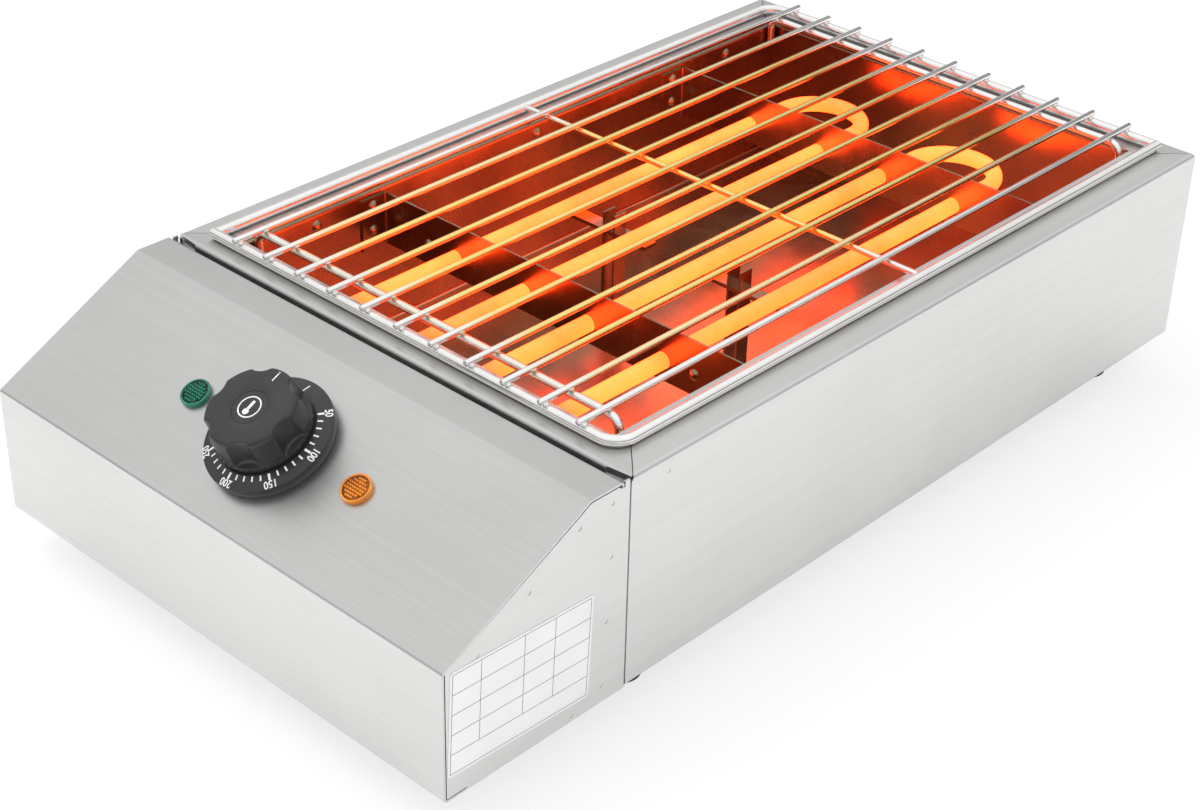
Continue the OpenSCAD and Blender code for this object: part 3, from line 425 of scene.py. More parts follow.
# heating tube: red hot along the pan, dull near the cold ends
def hotMaterial():
    mat, tree, shade = newMaterial("hot sheath")
    coord = node(tree, "ShaderNodeTexCoord")
    split = node(tree, "ShaderNodeSeparateXYZ")
    wire(tree, coord.outputs["Object"], split.inputs[0])
    heat = node(tree, "ShaderNodeMapRange")
    heat.inputs["From Min"].default_value = yAt(118) * mm  # here the tube is still dull
    heat.inputs["From Max"].default_value = yAt(150) * mm  # from here it glows in full
    wire(tree, split.outputs["Y"], heat.inputs["Value"])
    skin = node(tree, "ShaderNodeTexNoise")
    skin.inputs["Scale"].default_value = 260
    skin.inputs["Detail"].default_value = 5
    wire(tree, coord.outputs["Object"], skin.inputs["Vector"])
    base = ramp(tree, skin.outputs["Fac"], [(0.35, (0.10, 0.05, 0.035)), (0.65, (0.24, 0.12, 0.08))])
    wire(tree, base, shade.inputs["Base Color"])
    shade.inputs["Metallic"].default_value = 0.5
    shade.inputs["Roughness"].default_value = 0.55
    drift = node(tree, "ShaderNodeTexNoise")
    drift.inputs["Scale"].default_value = 22
    wire(tree, coord.outputs["Object"], drift.inputs["Vector"])
    glow = ramp(tree, drift.outputs["Fac"], [(0.35, (1.0, 0.045, 0.005)), (0.65, (1.0, 0.065, 0.009))])
    wire(tree, glow, shade.inputs["Emission Color"])
    power = node(tree, "ShaderNodeMath", operation="MULTIPLY")
    power.inputs[1].default_value = 9.0
    wire(tree, heat.outputs[0], power.inputs[0])
    wire(tree, power.outputs[0], shade.inputs["Emission Strength"])
    return mat


# clear coloured plastic that looks lit from inside
def lensMaterial(name, deep, lit):
    mat, tree, shade = newMaterial(name)
    coord = node(tree, "ShaderNodeTexCoord")
    cloud = node(tree, "ShaderNodeTexNoise")
    cloud.inputs["Scale"].default_value = 160
    wire(tree, coord.outputs["Object"], cloud.inputs["Vector"])
    col = ramp(tree, cloud.outputs["Fac"], [(0.35, deep), (0.65, lit)])
    wire(tree, col, shade.inputs["Base Color"])
    shade.inputs["Roughness"].default_value = 0.15
    shade.inputs["Subsurface Weight"].default_value = 0.15
    shade.inputs["Subsurface Scale"].default_value = 0.001
    shade.inputs["Coat Weight"].default_value = 0.5
    return mat


mats["element_sheath"] = hotMaterial()
mats["green_lens"] = lensMaterial("green lens", (0.006, 0.12, 0.07), (0.018, 0.22, 0.13))
# darker copies of the lens colour for the floor between the waffle's pyramids: painted shade in the grooves
mats["green_lens_deep"] = lensMaterial("green groove painted shade", (0.001, 0.02, 0.012), (0.002, 0.035, 0.02))
mats["amber_lens"] = lensMaterial("amber lens", (0.60, 0.17, 0.008), (0.86, 0.32, 0.025))
mats["amber_lens_deep"] = lensMaterial("amber groove painted shade", (0.16, 0.035, 0.002), (0.24, 0.06, 0.004))

longGrain = ["control_side_right", "control_side_left", "side_panel_right", "side_panel_left"]
slots = {s["node"]: s["material_slot"] for s in frame["record"]["subparts"]}
for name, obj in nodes.items():
    key = "stainlessLong" if name in longGrain else slots[name]
    obj.data.materials.clear()
    obj.data.materials.append(mats[key])
say("CAD nodes finished")


# folded cover over the control box
def makeCover():
    cover = dict(returnDepth=12, dropDepth=11, radius=2.0, steps=10, half=140, edge=0.22, flangeCut=4,
                 shaftHole=5, lampHole=5.2, screwHole=2.15, screwDepth=6, screwXs=(-100, 0, 100))
    t = body["sheet"]
    zb, zr = body["baseZ"], body["rimZ"]
    outer = [(yAt(body["coverDepth"]), zr - cover["dropDepth"]), (yAt(body["coverDepth"]), zr),
             (yAt(body["slopeDepth"]), zr), (yAt(0), zb + body["frontHeight"]),
             (yAt(0), zb), (yAt(cover["returnDepth"]), zb)]
    radii = [0] + [cover["radius"]] * 4 + [0]
    inner = []
    for i, p in enumerate(outer):
        p = Vector(p)
        before = (p - Vector(outer[i - 1])).normalized() if i > 0 else None
        after = (Vector(outer[i + 1]) - p).normalized() if i < len(outer) - 1 else None
        before = before or after
        after = after or before
        nb, na = Vector((-before.y, before.x)), Vector((-after.y, after.x))
        mid = (nb + na).normalized()
        inner.append(p + mid * t / max(mid.dot(nb), 0.2))
    loopOut = filletPath(outer, radii, cover["steps"])
    loopIn = filletPath([tuple(p) for p in inner], [0] + [cover["radius"] - t] * 4 + [0],
                        cover["steps"])
    loop = loopOut + list(reversed(loopIn))
    bm = bmesh.new()
    loft(bm, [[Vector((x, p[0], p[1])) * mm for p in loop] for x in (-cover["half"], cover["half"])])
    ends = [e for e in bm.edges if abs(e.verts[0].co.x - e.verts[1].co.x) < 1e-7]
    softEdges(bm, ends, cover["edge"] * mm)
    obj = finishMesh("coverSkin", bm, [mats["stainless"]], 28)
    cutters = []
    for x, s, r in ((0, body["dialS"], cover["shaftHole"]),
                    (-body["lampX"], body["lampS"], cover["lampHole"]),
                    (body["lampX"], body["lampS"], cover["lampHole"]),
                    (-body["screwX"], body["dialS"], cover["screwHole"]),
                    (body["screwX"], body["dialS"], cover["screwHole"])):
        cb = bmesh.new()
        lathe(cb, [(r, -6), (r, 6)], onSlope(x, s), 48, closedLoop=False)
        cutters.append(finishMesh("cutter", cb, []))
    for x in cover["screwXs"]:
        cb = bmesh.new()
        lathe(cb, [(cover["screwHole"], -3), (cover["screwHole"], 3)],
              lambda p, x=x: (p + Vector((x, yAt(cover["screwDepth"]), zb))) * mm, 32, closedLoop=False)
        cutters.append(finishMesh("cutter", cb, []))
    for k in (-1, 1):
        cb = bmesh.new()
        near = Vector((k * (cover["half"] - cover["flangeCut"]), yAt(body["coverDepth"] - 3),
                       zr - cover["dropDepth"] - 1))
        far = Vector((k * (cover["half"] + 1), yAt(body["coverDepth"] + 1), zr - cover["radius"]))
        size = Vector((abs(far.x - near.x), far.y - near.y, far.z - near.z))
        bmesh.ops.create_cube(cb, size=1, matrix=Matrix.LocRotScale((near + far) / 2 * mm, None, size * mm))
        cutters.append(finishMesh("cutter", cb, []))
    cutHoles(obj, cutters)
    return place(obj, "body", "stainless", "control_cover")


makeCover()
say("cover folded")


# lift-off grate: ring, bars, cross rods and middle rod, its depths counted from the front face
grate = dict(ringR=2.5, ringX=124, front=109, rear=498.5, corner=10, over=1.5, weldIn=1.2, barR=1.5,
             crossR=2.0, pitch=21.2, count=11, barFront=105.5, barRear=501.5, crossDepths=(124, 485),
             crossX=111.5, crossBend=6, legDrop=12, midDepth=304.5, restGap=0.3, endDome=0.4)
ringZ = body["rimZ"] + grate["restGap"] + grate["ringR"]
barZ = ringZ + grate["ringR"] + grate["barR"]
crossZ = barZ - grate["barR"] - grate["crossR"]
midZ = barZ - 2 * grate["barR"]


def arcPoints(centre, radius, start, end, steps, plane):
    out = []
    for k in range(steps + 1):
        a = math.radians(start + (end - start) * k / steps)
        c, s = radius * math.cos(a), radius * math.sin(a)
        x, y, z = centre
        out.append((x + c, y + s, z) if plane == "xy" else (x + c, y, z + s))
    return out


def makeRing():
    x, c, r = grate["ringX"], grate["corner"], grate["ringR"]
    front, rear = yAt(grate["front"]), yAt(grate["rear"])
    first = [(-x - grate["over"] + grate["endDome"], front, ringZ), (0, front, ringZ)]
    first += arcPoints((x - c, front + c, ringZ), c, 270, 360, 16, "xy")
    first += [(x, 0, ringZ), (x, rear + grate["over"] - grate["endDome"], ringZ)]
    second = [(-x, front + grate["weldIn"], ringZ), (-x, 0, ringZ)]
    second += arcPoints((-x + c, rear - c, ringZ), c, 180, 90, 16, "xy")
    second += [(0, rear, ringZ), (x - grate["weldIn"], rear, ringZ)]
    bm = bmesh.new()
    sweep(bm, [Vector(p) * mm for p in first], r * mm, 28, dome=grate["endDome"] * mm)
    sweep(bm, [Vector(p) * mm for p in second], r * mm, 28)
    for centre in ((-x, front + r - 0.3, ringZ), (x - r + 0.3, rear, ringZ)):
        weldBead(bm, centre, r * 1.02, r * 0.9)
    return place(finishMesh("grateRing", bm, [mats["grate_steel"]], 50), "grate", "grate_steel",
                 "grate_ring")


# a tree that repeats its mesh along a line
def repeatTree():
    tree = bpy.data.node_groups.new("repeat along a line", "GeometryNodeTree")
    tree.interface.new_socket("Geometry", in_out="INPUT", socket_type="NodeSocketGeometry")
    count = tree.interface.new_socket("Count", in_out="INPUT", socket_type="NodeSocketInt")
    start = tree.interface.new_socket("Start", in_out="INPUT", socket_type="NodeSocketVector")
    step = tree.interface.new_socket("Step", in_out="INPUT", socket_type="NodeSocketVector")
    finish = tree.interface.new_socket("Material", in_out="INPUT", socket_type="NodeSocketMaterial")
    tree.interface.new_socket("Geometry", in_out="OUTPUT", socket_type="NodeSocketGeometry")
    gi, go = node(tree, "NodeGroupInput"), node(tree, "NodeGroupOutput")
    line = node(tree, "GeometryNodeMeshLine", mode="OFFSET")
    wire(tree, gi.outputs["Count"], line.inputs["Count"])
    wire(tree, gi.outputs["Start"], line.inputs["Start Location"])
    wire(tree, gi.outputs["Step"], line.inputs["Offset"])
    inst = node(tree, "GeometryNodeInstanceOnPoints")
    wire(tree, line.outputs[0], inst.inputs["Points"])
    wire(tree, gi.outputs["Geometry"], inst.inputs["Instance"])
    real = node(tree, "GeometryNodeRealizeInstances")
    wire(tree, inst.outputs[0], real.inputs[0])
    paint = node(tree, "GeometryNodeSetMaterial")
    wire(tree, real.outputs[0], paint.inputs["Geometry"])
    wire(tree, gi.outputs["Material"], paint.inputs["Material"])
    wire(tree, paint.outputs[0], go.inputs[0])
    return tree, dict(count=count.identifier, start=start.identifier, step=step.identifier,
                      material=finish.identifier)


repeater, repeatKeys = repeatTree()


def repeated(obj, count, start, step, mat, angle=40):
    mod = obj.modifiers.new("repeat", "NODES")
    mod.node_group = repeater
    mod[repeatKeys["count"]] = count
    mod[repeatKeys["start"]] = start
    mod[repeatKeys["step"]] = step
    mod[repeatKeys["material"]] = mat
    obj.update_tag()
    bpy.context.view_layer.update()
    applyModifiers(obj, angle)


def makeBars():
    bm = bmesh.new()
    y0, y1 = yAt(grate["barFront"]), yAt(grate["barRear"])
    edge = 0.4
    r = grate["barR"]
    rows = []
    for y, rr in ((y0, r - edge), (y0 + 0.15, r - 0.15), (y0 + edge, r), (0, r), (y1 - edge, r),
                  (y1 - 0.15, r - 0.15), (y1, r - edge)):
        rows.append([Vector((rr * math.cos(q), y, barZ + rr * math.sin(q))) * mm
                     for q in [2 * math.pi * k / 24 for k in range(24)]])
    loft(bm, rows)
    for d in (grate["front"], grate["rear"]):
        weldBead(bm, (0, yAt(d), barZ - r - 0.1), 2.0, 1.0)
    obj = finishMesh("grateBars", bm, [mats["grate_steel"]], 40)
    half = (grate["count"] - 1) / 2 * grate["pitch"] * mm
    repeated(obj, grate["count"], (-half, 0, 0), (grate["pitch"] * mm, 0, 0), mats["grate_steel"])
    return place(obj, "grate", "grate_steel", "grate_bars")


# flattened ball of weld metal where rods meet
def weldBead(bm, centre, wide, tall):
    made = bmesh.ops.create_uvsphere(bm, u_segments=16, v_segments=8, radius=1)["verts"]
    for v in made:
        v.co = Vector((centre[0] + v.co.x * wide, centre[1] + v.co.y * wide,
                       centre[2] + v.co.z * tall)) * mm


def makeCrossRods():
    bm = bmesh.new()
    x, b, r = grate["crossX"], grate["crossBend"], grate["crossR"]
    legEnd = body["rimZ"] - grate["legDrop"]
    for d in grate["crossDepths"]:
        y = yAt(d)
        pts = [(x, y, legEnd + grate["endDome"])]
        pts += arcPoints((x - b, y, crossZ - b), b, 0, 90, 10, "xz")
        pts += arcPoints((-x + b, y, crossZ - b), b, 90, 180, 10, "xz")
        pts += [(-x, y, legEnd + grate["endDome"])]
        sweep(bm, [Vector(p) * mm for p in pts], r * mm, 22, dome=grate["endDome"] * mm)
    return place(finishMesh("grateCrossRods", bm, [mats["grate_steel"]], 50), "grate",
                 "grate_steel", "grate_cross_rods")


def makeMidRod():
    bm = bmesh.new()
    end = grate["ringX"] - grate["ringR"] + 0.15
    y = yAt(grate["midDepth"])
    sweep(bm, [Vector((k * end, y, midZ)) * mm for k in (-1, 0, 1)], grate["barR"] * mm, 22)
    for k in (-1, 1):
        weldBead(bm, (k * (end - 0.2), y, midZ - 0.3), 1.8, 1.7)
    return place(finishMesh("grateMidRod", bm, [mats["grate_steel"]], 50), "grate", "grate_steel",
                 "grate_mid_rod")


makeRing()
makeBars()
makeCrossRods()
makeMidRod()
say("grate made")


# heating tubes
def makeElement(name, side, cadNode):
    tube = dict(inner=20, outer=65, start=88, rear=465, radius=4, z=body["baseZ"] + 80)
    half = (tube["outer"] - tube["inner"]) / 2
    yEnd = yAt(tube["rear"]) - half
    pts = [(tube["inner"], yAt(tube["start"]), tube["z"]), (tube["inner"], yAt(300), tube["z"])]
    cx = tube["inner"] + half
    for k in range(25):
        a = math.pi - math.pi * k / 24
        pts.append((cx + half * math.cos(a), yEnd + half * math.sin(a), tube["z"]))
    pts += [(tube["outer"], yAt(300), tube["z"]), (tube["outer"], yAt(tube["start"]), tube["z"])]
    bm = bmesh.new()
    sweep(bm, [Vector((side * p[0], p[1], p[2])) * mm for p in pts], tube["radius"] * mm, 28)
    return place(finishMesh(name, bm, [mats["element_sheath"]], 50), "body", "element_sheath", cadNode)


makeElement("heatingTubeRight", 1, "element_right")
makeElement("heatingTubeLeft", -1, "element_left")
say("heating tubes made")


# dial ring, its scale, the grip and its cap
dial = dict(radius=28.6, height=8.0, hub=7.0, flat=22.4, drop=1.75, firstMark=41, markStep=9,
            marks=26, perNumber=5, markStart=22.45, numberR=25.35)
dialAt = onSlope(0, body["dialS"])


def makeDialRing():
    bm = bmesh.new()
    h, r, f = dial["height"], dial["radius"], dial["flat"]
    prof = [(dial["hub"], h - 1.4), (dial["hub"], h - 0.15), (dial["hub"] + 0.15, h),
            (f - 0.3, h), (f, h), (r - 0.7, h - dial["drop"]), (r - 0.3, h - 1.9),
            (r - 0.08, h - 2.1), (r, h - 2.4), (r, 3.6), (r - 0.1, 3.0), (r - 0.95, 0.3),
            (r - 1.1, 0), (r - 2.3, 0), (r - 2.4, 0.2), (r - 1.4, 3.4), (r - 1.4, h - 3),
            (f + 1, h - 1.4)]
    lathe(bm, prof, dialAt, 160)
    return place(finishMesh("dialRing", bm, [mats["black_plastic"]], 35), "body", "black_plastic",
                 "dial_skirt")


# height of the ring's cone at a radius
def skirtHeight(r):
    f = (r - dial["flat"]) / (dial["radius"] - 0.7 - dial["flat"])
    return dial["height"] - dial["drop"] * max(0.0, min(1.0, f))


def makeDialMarks():
    bm = bmesh.new()
    lift = 0.05

    def bar(angle, r0, r1, wide):
        c, s = math.cos(angle), math.sin(angle)
        corners = []
        for r, w in ((r0, -wide), (r1, -wide), (r1, wide), (r0, wide)):
            corners.append(dialAt((r * s + w / 2 * c, r * c - w / 2 * s, skirtHeight(r) + lift)))
        bm.faces.new([bm.verts.new(p) for p in reversed(corners)])
    for k in range(dial["marks"]):
        a = math.radians(dial["firstMark"] + dial["markStep"] * k)
        major = k % dial["perNumber"] == 0
        bar(a, dial["markStart"], 25.1 if major else 24.6, 1.05 if major else 0.74)
    bar(0, dial["markStart"], 26.2, 0.55)
    for k in range(0, dial["marks"], dial["perNumber"]):
        value = str(10 * (k + dial["perNumber"]))
        angle = math.radians(dial["firstMark"] + dial["markStep"] * k)
        curve = bpy.data.curves.new("number", "FONT")
        curve.body = value
        curve.size = 4.5
        curve.offset = 0.09
        curve.align_x = "CENTER"
        curve.resolution_u = 4
        holder = bpy.data.objects.new("number", curve)
        bpy.context.scene.collection.objects.link(holder)
        bpy.context.view_layer.update()
        dg = bpy.context.evaluated_depsgraph_get()
        flat = bpy.data.meshes.new_from_object(holder.evaluated_get(dg))
        made = [bm.verts.new((0, 0, 0)) for _ in flat.vertices]
        c, s = math.cos(angle), math.sin(angle)
        for v, src in zip(made, flat.vertices):
            u, w = src.co.x * 0.88, src.co.y + dial["numberR"]
            x, y = u * c + w * s, -u * s + w * c
            v.co = dialAt((x, y, skirtHeight(math.hypot(x, y)) + lift))
        for p in flat.polygons:
            bm.faces.new([made[i] for i in p.vertices])
        bpy.data.objects.remove(holder)
        bpy.data.curves.remove(curve)
        bpy.data.meshes.remove(flat)
    obj = finishMesh("dialScale", bm, [mats["white_inlay"]])
    return place(obj, "body", "white_inlay")


grip = dict(low=8.8, top=25.0, collar=2.8, steps=720, foot=21.4, shoulder=20.4, lobes=6,
            fluteR=9.0, fluteOut=26.8, dish=11.0, dishDepth=0.7, cap=8.0, capDepth=1.1)


# distance from the middle to the nearest flute wall, 99 where there is none
def fluteRadius(angle):
    step = 2 * math.pi / grip["lobes"]
    g = step / 2 - abs((angle + step / 2) % step - step / 2)
    inside = grip["fluteR"] ** 2 - (grip["fluteOut"] * math.sin(g)) ** 2
    return grip["fluteOut"] * math.cos(g) - math.sqrt(inside) if inside > 0 else 99.0


def makeGrip():
    n = grip["steps"]
    flutes = [fluteRadius(2 * math.pi * k / n) for k in range(n)]

    def ring(h, outer, fluted=1.0, inset=0.0):
        raw = [min(outer, f - inset) for f in flutes]
        row = []
        for k in range(n):
            r = sum(raw[(k + d) % n] for d in (-1, 0, 1)) / 3
            r = r * fluted + outer * (1 - fluted)
            a = 2 * math.pi * k / n
            row.append(dialAt((r * math.sin(a), r * math.cos(a), h)))
        return row
    low, top, foot, up = (grip[k] for k in ("low", "top", "foot", "shoulder"))
    c = low + grip["collar"]
    rows = [ring(low + 1.5, 13.8, 0), ring(low, 14.0, 0), ring(low, foot - 0.4, 0),
            ring(low + 0.12, foot - 0.1, 0), ring(low + 0.4, foot, 0), ring(c - 0.5, foot, 0),
            ring(c - 0.12, foot - 0.1, 0), ring(c, foot - 0.1, 0.25), ring(c + 0.1, foot - 0.1, 0.6),
            ring(c + 0.35, foot - 0.1, 0.85), ring(c + 0.8, foot - 0.12, 0.96)]
    for k in range(7):
        f = k / 6
        rows.append(ring(c + 1.4 + (top - 2.4 - c - 1.4) * f, foot - 0.13 + (up - foot + 0.13) * f))
    for h, cut, inset in ((2.0, 0.04, 0), (1.55, 0.2, 0), (1.1, 0.48, 0), (0.7, 0.85, 0.05),
                          (0.4, 1.2, 0.25), (0.18, 1.6, 0.55), (0.04, 2.1, 1.0)):
        rows.append(ring(top - h, up - cut, 1.0, inset))
    for outer in (15.2, 13.4, 12.0):
        rows.append(ring(top - 0.02, outer, 0))
    for outer, h in ((grip["dish"], 0.06), (10.3, 0.2), (9.6, 0.38), (8.9, 0.56), (8.3, 0.66),
                     (8.12, 0.72), (8.08, grip["capDepth"])):
        rows.append(ring(top - h, outer, 0))
    bm = bmesh.new()
    loft(bm, rows)
    obj = finishMesh("gripBody", bm, [mats["black_plastic"]], 38)
    return place(obj, "knob", "black_plastic", "knob_grip")


def makeGripCap():
    bm = bmesh.new()
    floor = grip["top"] - grip["capDepth"]
    face = grip["top"] - grip["dishDepth"]
    r = grip["cap"]
    lathe(bm, [(0.01, floor), (r, floor), (r, face - 0.12), (r - 0.12, face), (0.01, face)], dialAt,
          96, closedLoop=False)
    obj = finishMesh("gripCap", bm, [mats["black_plastic"]], 35)
    place(obj, "knob", "black_plastic", "knob_cap")
    bm = bmesh.new()
    ink = face + 0.02
    lathe(bm, [(4.7, face - 0.05), (5.3, face - 0.05), (5.3, ink), (4.7, ink)], dialAt, 72)

    def flat(points):
        bm.faces.new([bm.verts.new(dialAt((x, y, ink))) for x, y in points])
    flat([(-0.7, -1.4), (0.7, -1.4), (0.7, 2.9), (0.45, 3.3), (-0.45, 3.3), (-0.7, 2.9)])
    flat([(1.5 * math.cos(q), -2.4 + 1.5 * math.sin(q))
          for q in [2 * math.pi * k / 28 for k in range(28)]])
    obj = finishMesh("gripPrint", bm, [mats["white_inlay"]], 35)
    return place(obj, "knob", "white_inlay")


# pointer line sunk into the grip's top: the line is real, its white colour is a painted highlight of the
# engraved line
def makePointer():
    bm = bmesh.new()
    w, y0, y1 = 0.3, 14.0, 18.8  # half width, inner and outer end
    base, top = grip["top"] - 0.8, grip["top"]
    pts = [(-w, y0, base), (w, y0, base), (w, y1, base), (-w, y1, base),
           (-w, y0, top + 0.02), (w, y0, top + 0.02), (w, y1, top - 0.05), (-w, y1, top - 0.05)]
    v = [bm.verts.new(dialAt(p)) for p in pts]
    for f in ((0, 3, 2, 1), (4, 5, 6, 7), (0, 1, 5, 4), (1, 2, 6, 5), (2, 3, 7, 6), (3, 0, 4, 7)):
        bm.faces.new([v[i] for i in f])
    obj = finishMesh("gripPointer", bm, [mats["white_inlay"]], 35)
    return place(obj, "knob", "white_inlay", "knob_pointer")


makeDialRing()
makeDialMarks()
makeGrip()
makeGripCap()
makePointer()
say("dial and grip made")


# indicator lamps: coloured caps with a waffle front
def makeLamp(name, x, lensSlot, bodyNode, lensNode):
    at = onSlope(x, body["lampS"])
    bm = bmesh.new()
    lathe(bm, [(3.6, -18.0), (3.6, -0.1), (5.0, -0.1), (5.0, -23.6), (4.6, -24.0), (0.01, -24.0),
               (0.01, -18.0)], at, 48)
    holder = finishMesh(name + "Holder", bm, [mats["black_plastic"]], 35)
    place(holder, "body", "black_plastic", bodyNode)
    bm = bmesh.new()
    lathe(bm, [(0.01, -6.0), (3.5, -6.0), (3.5, 0.0), (6.85, 0.0), (7.0, 0.15), (7.0, 1.5),
               (6.9, 1.95), (6.6, 2.2), (6.25, 2.25), (5.95, 2.1), (5.85, 1.75)], at, 72,
          closedLoop=False)
    rimFaces = len(bm.faces)
    # the flat floor between the pyramids takes the darker copy, painted shade in the grooves
    lathe(bm, [(5.85, 1.75), (0.01, 1.75)], at, 72, closedLoop=False)
    for f in list(bm.faces)[rimFaces:]:
        f.material_index = 1
    pitch, tall, reach, low = 1.45, 0.6, 4, 1.78
    for i in range(-reach, reach + 1):
        for j in range(-reach, reach + 1):
            cx, cy = i * pitch, j * pitch
            if math.hypot(cx, cy) > 5.2:
                continue
            w, t = pitch * 0.40, pitch * 0.22
            corner = ((-1, -1), (1, -1), (1, 1), (-1, 1))
            vb = [bm.verts.new(at((cx + a * w, cy + b * w, low))) for a, b in corner]
            vt = [bm.verts.new(at((cx + a * t, cy + b * t, low + tall))) for a, b in corner]
            bm.faces.new(vt)
            bm.faces.new(list(reversed(vb)))
            for k in range(4):
                m = (k + 1) % 4
                bm.faces.new((vb[k], vb[m], vt[m], vt[k]))
    lens = finishMesh(name + "Lens", bm, [mats[lensSlot], mats[lensSlot + "_deep"]], 20)
    place(lens, "body", lensSlot, lensNode)


makeLamp("lampGreen", -body["lampX"], "green_lens", "lamp_body_green", "lamp_lens_green")
makeLamp("lampAmber", body["lampX"], "amber_lens", "lamp_body_amber", "lamp_lens_amber")
say("lamps made")


# rubber feet
def makeFeet():
    foot = dict(x=114.6, depths=(126, 481), radius=9.0, top=21.7, recess=5.0, recessTop=8.0, bore=2.15)
    bm = bmesh.new()
    r = foot["radius"]
    for x in (-foot["x"], foot["x"]):
        for d in foot["depths"]:
            prof = [(foot["bore"], foot["recessTop"]), (foot["recess"], foot["recessTop"]),
                    (foot["recess"], 0.3), (foot["recess"] + 0.3, 0), (r - 1.3, 0), (r - 0.6, 0.25),
                    (r - 0.15, 0.8), (r, 1.6), (r, foot["top"] - 0.4), (r - 0.3, foot["top"]),
                    (foot["bore"], foot["top"])]
            lathe(bm, prof, lambda p, x=x, d=d: (p + Vector((x, yAt(d), 0))) * mm, 64)
    return place(finishMesh("rubberFeet", bm, [mats["rubber"]], 40), "body", "rubber", "rubber_feet")


makeFeet()


# bare plate with a ruled grid
def makePlate():
    label = dict(width=76.5, height=49, depth=41.2, z=34.2, tilt=-2.6, thick=0.3, corner=1.5, rows=5,
                 columns=(0, 0.20, 0.51, 0.735, 1), margin=1.2, line=0.28)
    turn = Matrix.Rotation(math.radians(label["tilt"]), 3, "X")
    centre = Vector((body["width"] / 2, yAt(label["depth"]), body["baseZ"] + label["z"]))

    def at(p):
        return (centre + turn @ Vector(p)) * mm
    bm = bmesh.new()
    w, h, t, c = label["width"] / 2, label["height"] / 2, label["thick"], label["corner"]
    loop = []
    for cy, cz, a in ((w - c, h - c, 0), (-w + c, h - c, 90), (-w + c, -h + c, 180),
                      (w - c, -h + c, 270)):
        for k in range(5):
            q = math.radians(a + 90 * k / 4)
            loop.append((cy + c * math.cos(q), cz + c * math.sin(q)))
    loft(bm, [[at((x, a, b)) for a, b in loop] for x in (0, t - 0.02)])
    ink = t - 0.01

    def rule(y0, z0, y1, z1):
        vs = [bm.verts.new(at((ink, a, b))) for a, b in ((y0, z0), (y1, z0), (y1, z1), (y0, z1))]
        bm.faces.new(vs).material_index = 1
    left, right = -w + label["margin"], w - label["margin"]
    low, high = -h + label["margin"], h - label["margin"]
    tall = (high - low) / label["rows"]
    half = label["line"] / 2
    for k in range(label["rows"] + 1):
        rule(left, low + k * tall - half, right, low + k * tall + half)
    for f in label["columns"]:
        y = left + (right - left) * f
        rule(y - half, low if f in (0, 1) else low + tall, y + half, high)
    obj = finishMesh("barePlate", bm, [mats["label_foil"], mats["grey_cable"]], 30)
    return place(obj, "body", "label_foil", "rating_label")


makePlate()
say("feet and plate made")


# camera, light, floor
def makeCamera():
    view = dict(azimuth=42.697, elevation=31.809, roll=1.457, distance=1.085652,
                target=(0.007469, -0.029933, 0.042350), lens=69.6456)
    a, e, r = (math.radians(view[k]) for k in ("azimuth", "elevation", "roll"))
    back = Vector((math.sin(a) * math.cos(e), -math.cos(a) * math.cos(e), math.sin(e)))
    right = Vector((math.cos(a), math.sin(a), 0))
    up = back.cross(right)
    right2 = right * math.cos(r) + up * math.sin(r)
    up2 = up * math.cos(r) - right * math.sin(r)
    cam = bpy.data.cameras.new("camera")
    cam.lens = view["lens"]
    cam.sensor_width = 36
    cam.clip_start = 0.01
    obj = bpy.data.objects.new("camera", cam)
    bpy.context.scene.collection.objects.link(obj)
    m = Matrix((right2, up2, back)).transposed().to_4x4()
    m.translation = Vector(view["target"]) + back * view["distance"]
    obj.matrix_world = m
    bpy.context.scene.camera = obj


def areaLight(name, at, aim, size, power, colour=(1, 1, 1), mirrored=False):
    lamp = bpy.data.lights.new(name, "AREA")
    lamp.shape = "RECTANGLE"
    lamp.size, lamp.size_y = size
    lamp.energy = power
    lamp.color = colour
    obj = bpy.data.objects.new(name, lamp)
    bpy.context.scene.collection.objects.link(obj)
    obj.location = at
    obj.rotation_euler = (Vector(at) - Vector(aim)).to_track_quat("Z", "Y").to_euler()
    obj.visible_glossy = mirrored


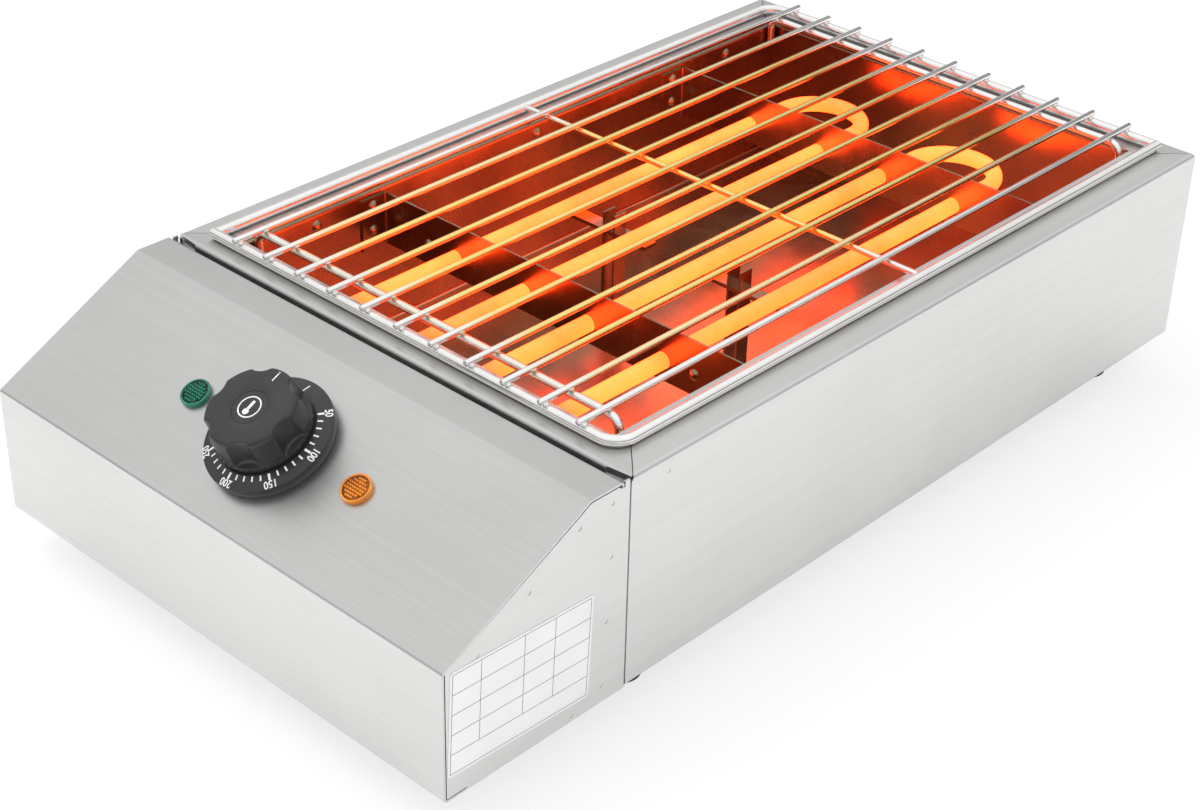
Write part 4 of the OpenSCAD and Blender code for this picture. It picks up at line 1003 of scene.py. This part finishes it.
def makeWorld():
    world = bpy.data.worlds.new("studio")
    bpy.context.scene.world = world
    world.use_nodes = True
    tree = world.node_tree
    tree.nodes.clear()
    out = node(tree, "ShaderNodeOutputWorld")
    coord = node(tree, "ShaderNodeTexCoord")
    split = node(tree, "ShaderNodeSeparateXYZ")
    wire(tree, coord.outputs["Generated"], split.inputs[0])
    height = node(tree, "ShaderNodeMapRange")
    height.inputs["From Min"].default_value = -1.0
    wire(tree, split.outputs["Z"], height.inputs["Value"])
    grey = [(0.50, 1.0), (0.51, 0.30), (0.63, 0.30), (0.69, 0.78), (0.80, 0.85), (0.88, 1.0), (1.0, 1.0)]
    sky = ramp(tree, height.outputs[0], [(at, (g, g, g)) for at, g in grey])
    soft = node(tree, "ShaderNodeBackground")
    wire(tree, sky, soft.inputs["Color"])
    plain = node(tree, "ShaderNodeBackground")
    plain.inputs["Strength"].default_value = 1.0
    plain.inputs["Color"].default_value = (1, 1, 1, 1)
    path = node(tree, "ShaderNodeLightPath")
    mix = node(tree, "ShaderNodeMixShader")
    wire(tree, path.outputs["Is Camera Ray"], mix.inputs[0])
    wire(tree, soft.outputs[0], mix.inputs[1])
    wire(tree, plain.outputs[0], mix.inputs[2])
    wire(tree, mix.outputs[0], out.inputs["Surface"])


def makeFloor():
    bm = bmesh.new()
    s = 3.0
    bm.faces.new([bm.verts.new(p) for p in ((-s, -s, 0), (s, -s, 0), (s, s, 0), (-s, s, 0))])
    mat, tree, shade = newMaterial("pale floor")
    coord = node(tree, "ShaderNodeTexCoord")
    haze = node(tree, "ShaderNodeTexNoise")
    haze.inputs["Scale"].default_value = 2
    wire(tree, coord.outputs["Object"], haze.inputs["Vector"])
    col = ramp(tree, haze.outputs["Fac"], [(0.3, (0.95, 0.95, 0.95)), (0.7, (0.96, 0.96, 0.96))])
    wire(tree, col, shade.inputs["Base Color"])
    shade.inputs["Roughness"].default_value = 0.9
    shade.inputs["Specular IOR Level"].default_value = 0.1
    white = node(tree, "ShaderNodeEmission")
    path = node(tree, "ShaderNodeLightPath")
    share = node(tree, "ShaderNodeMath", operation="MULTIPLY")
    share.inputs[1].default_value = 0.72
    wire(tree, path.outputs["Is Camera Ray"], share.inputs[0])
    mix = node(tree, "ShaderNodeMixShader")
    wire(tree, share.outputs[0], mix.inputs[0])
    wire(tree, shade.outputs[0], mix.inputs[1])
    wire(tree, white.outputs[0], mix.inputs[2])
    out = next(n for n in tree.nodes if n.type == "OUTPUT_MATERIAL")
    wire(tree, mix.outputs[0], out.inputs["Surface"])
    floor = finishMesh("floor", bm, [mat])


makeCamera()
makeWorld()
makeFloor()
areaLight("key", (-0.9, -0.5, 1.9), (0, 0, 0.05), (2.2, 2.0), 24)
areaLight("fill", (1.5, -1.4, 1.5), (0, 0, 0.05), (2.0, 1.6), 14)
scene = bpy.context.scene
scene.view_settings.view_transform = "Standard"
say("camera, light and floor set")
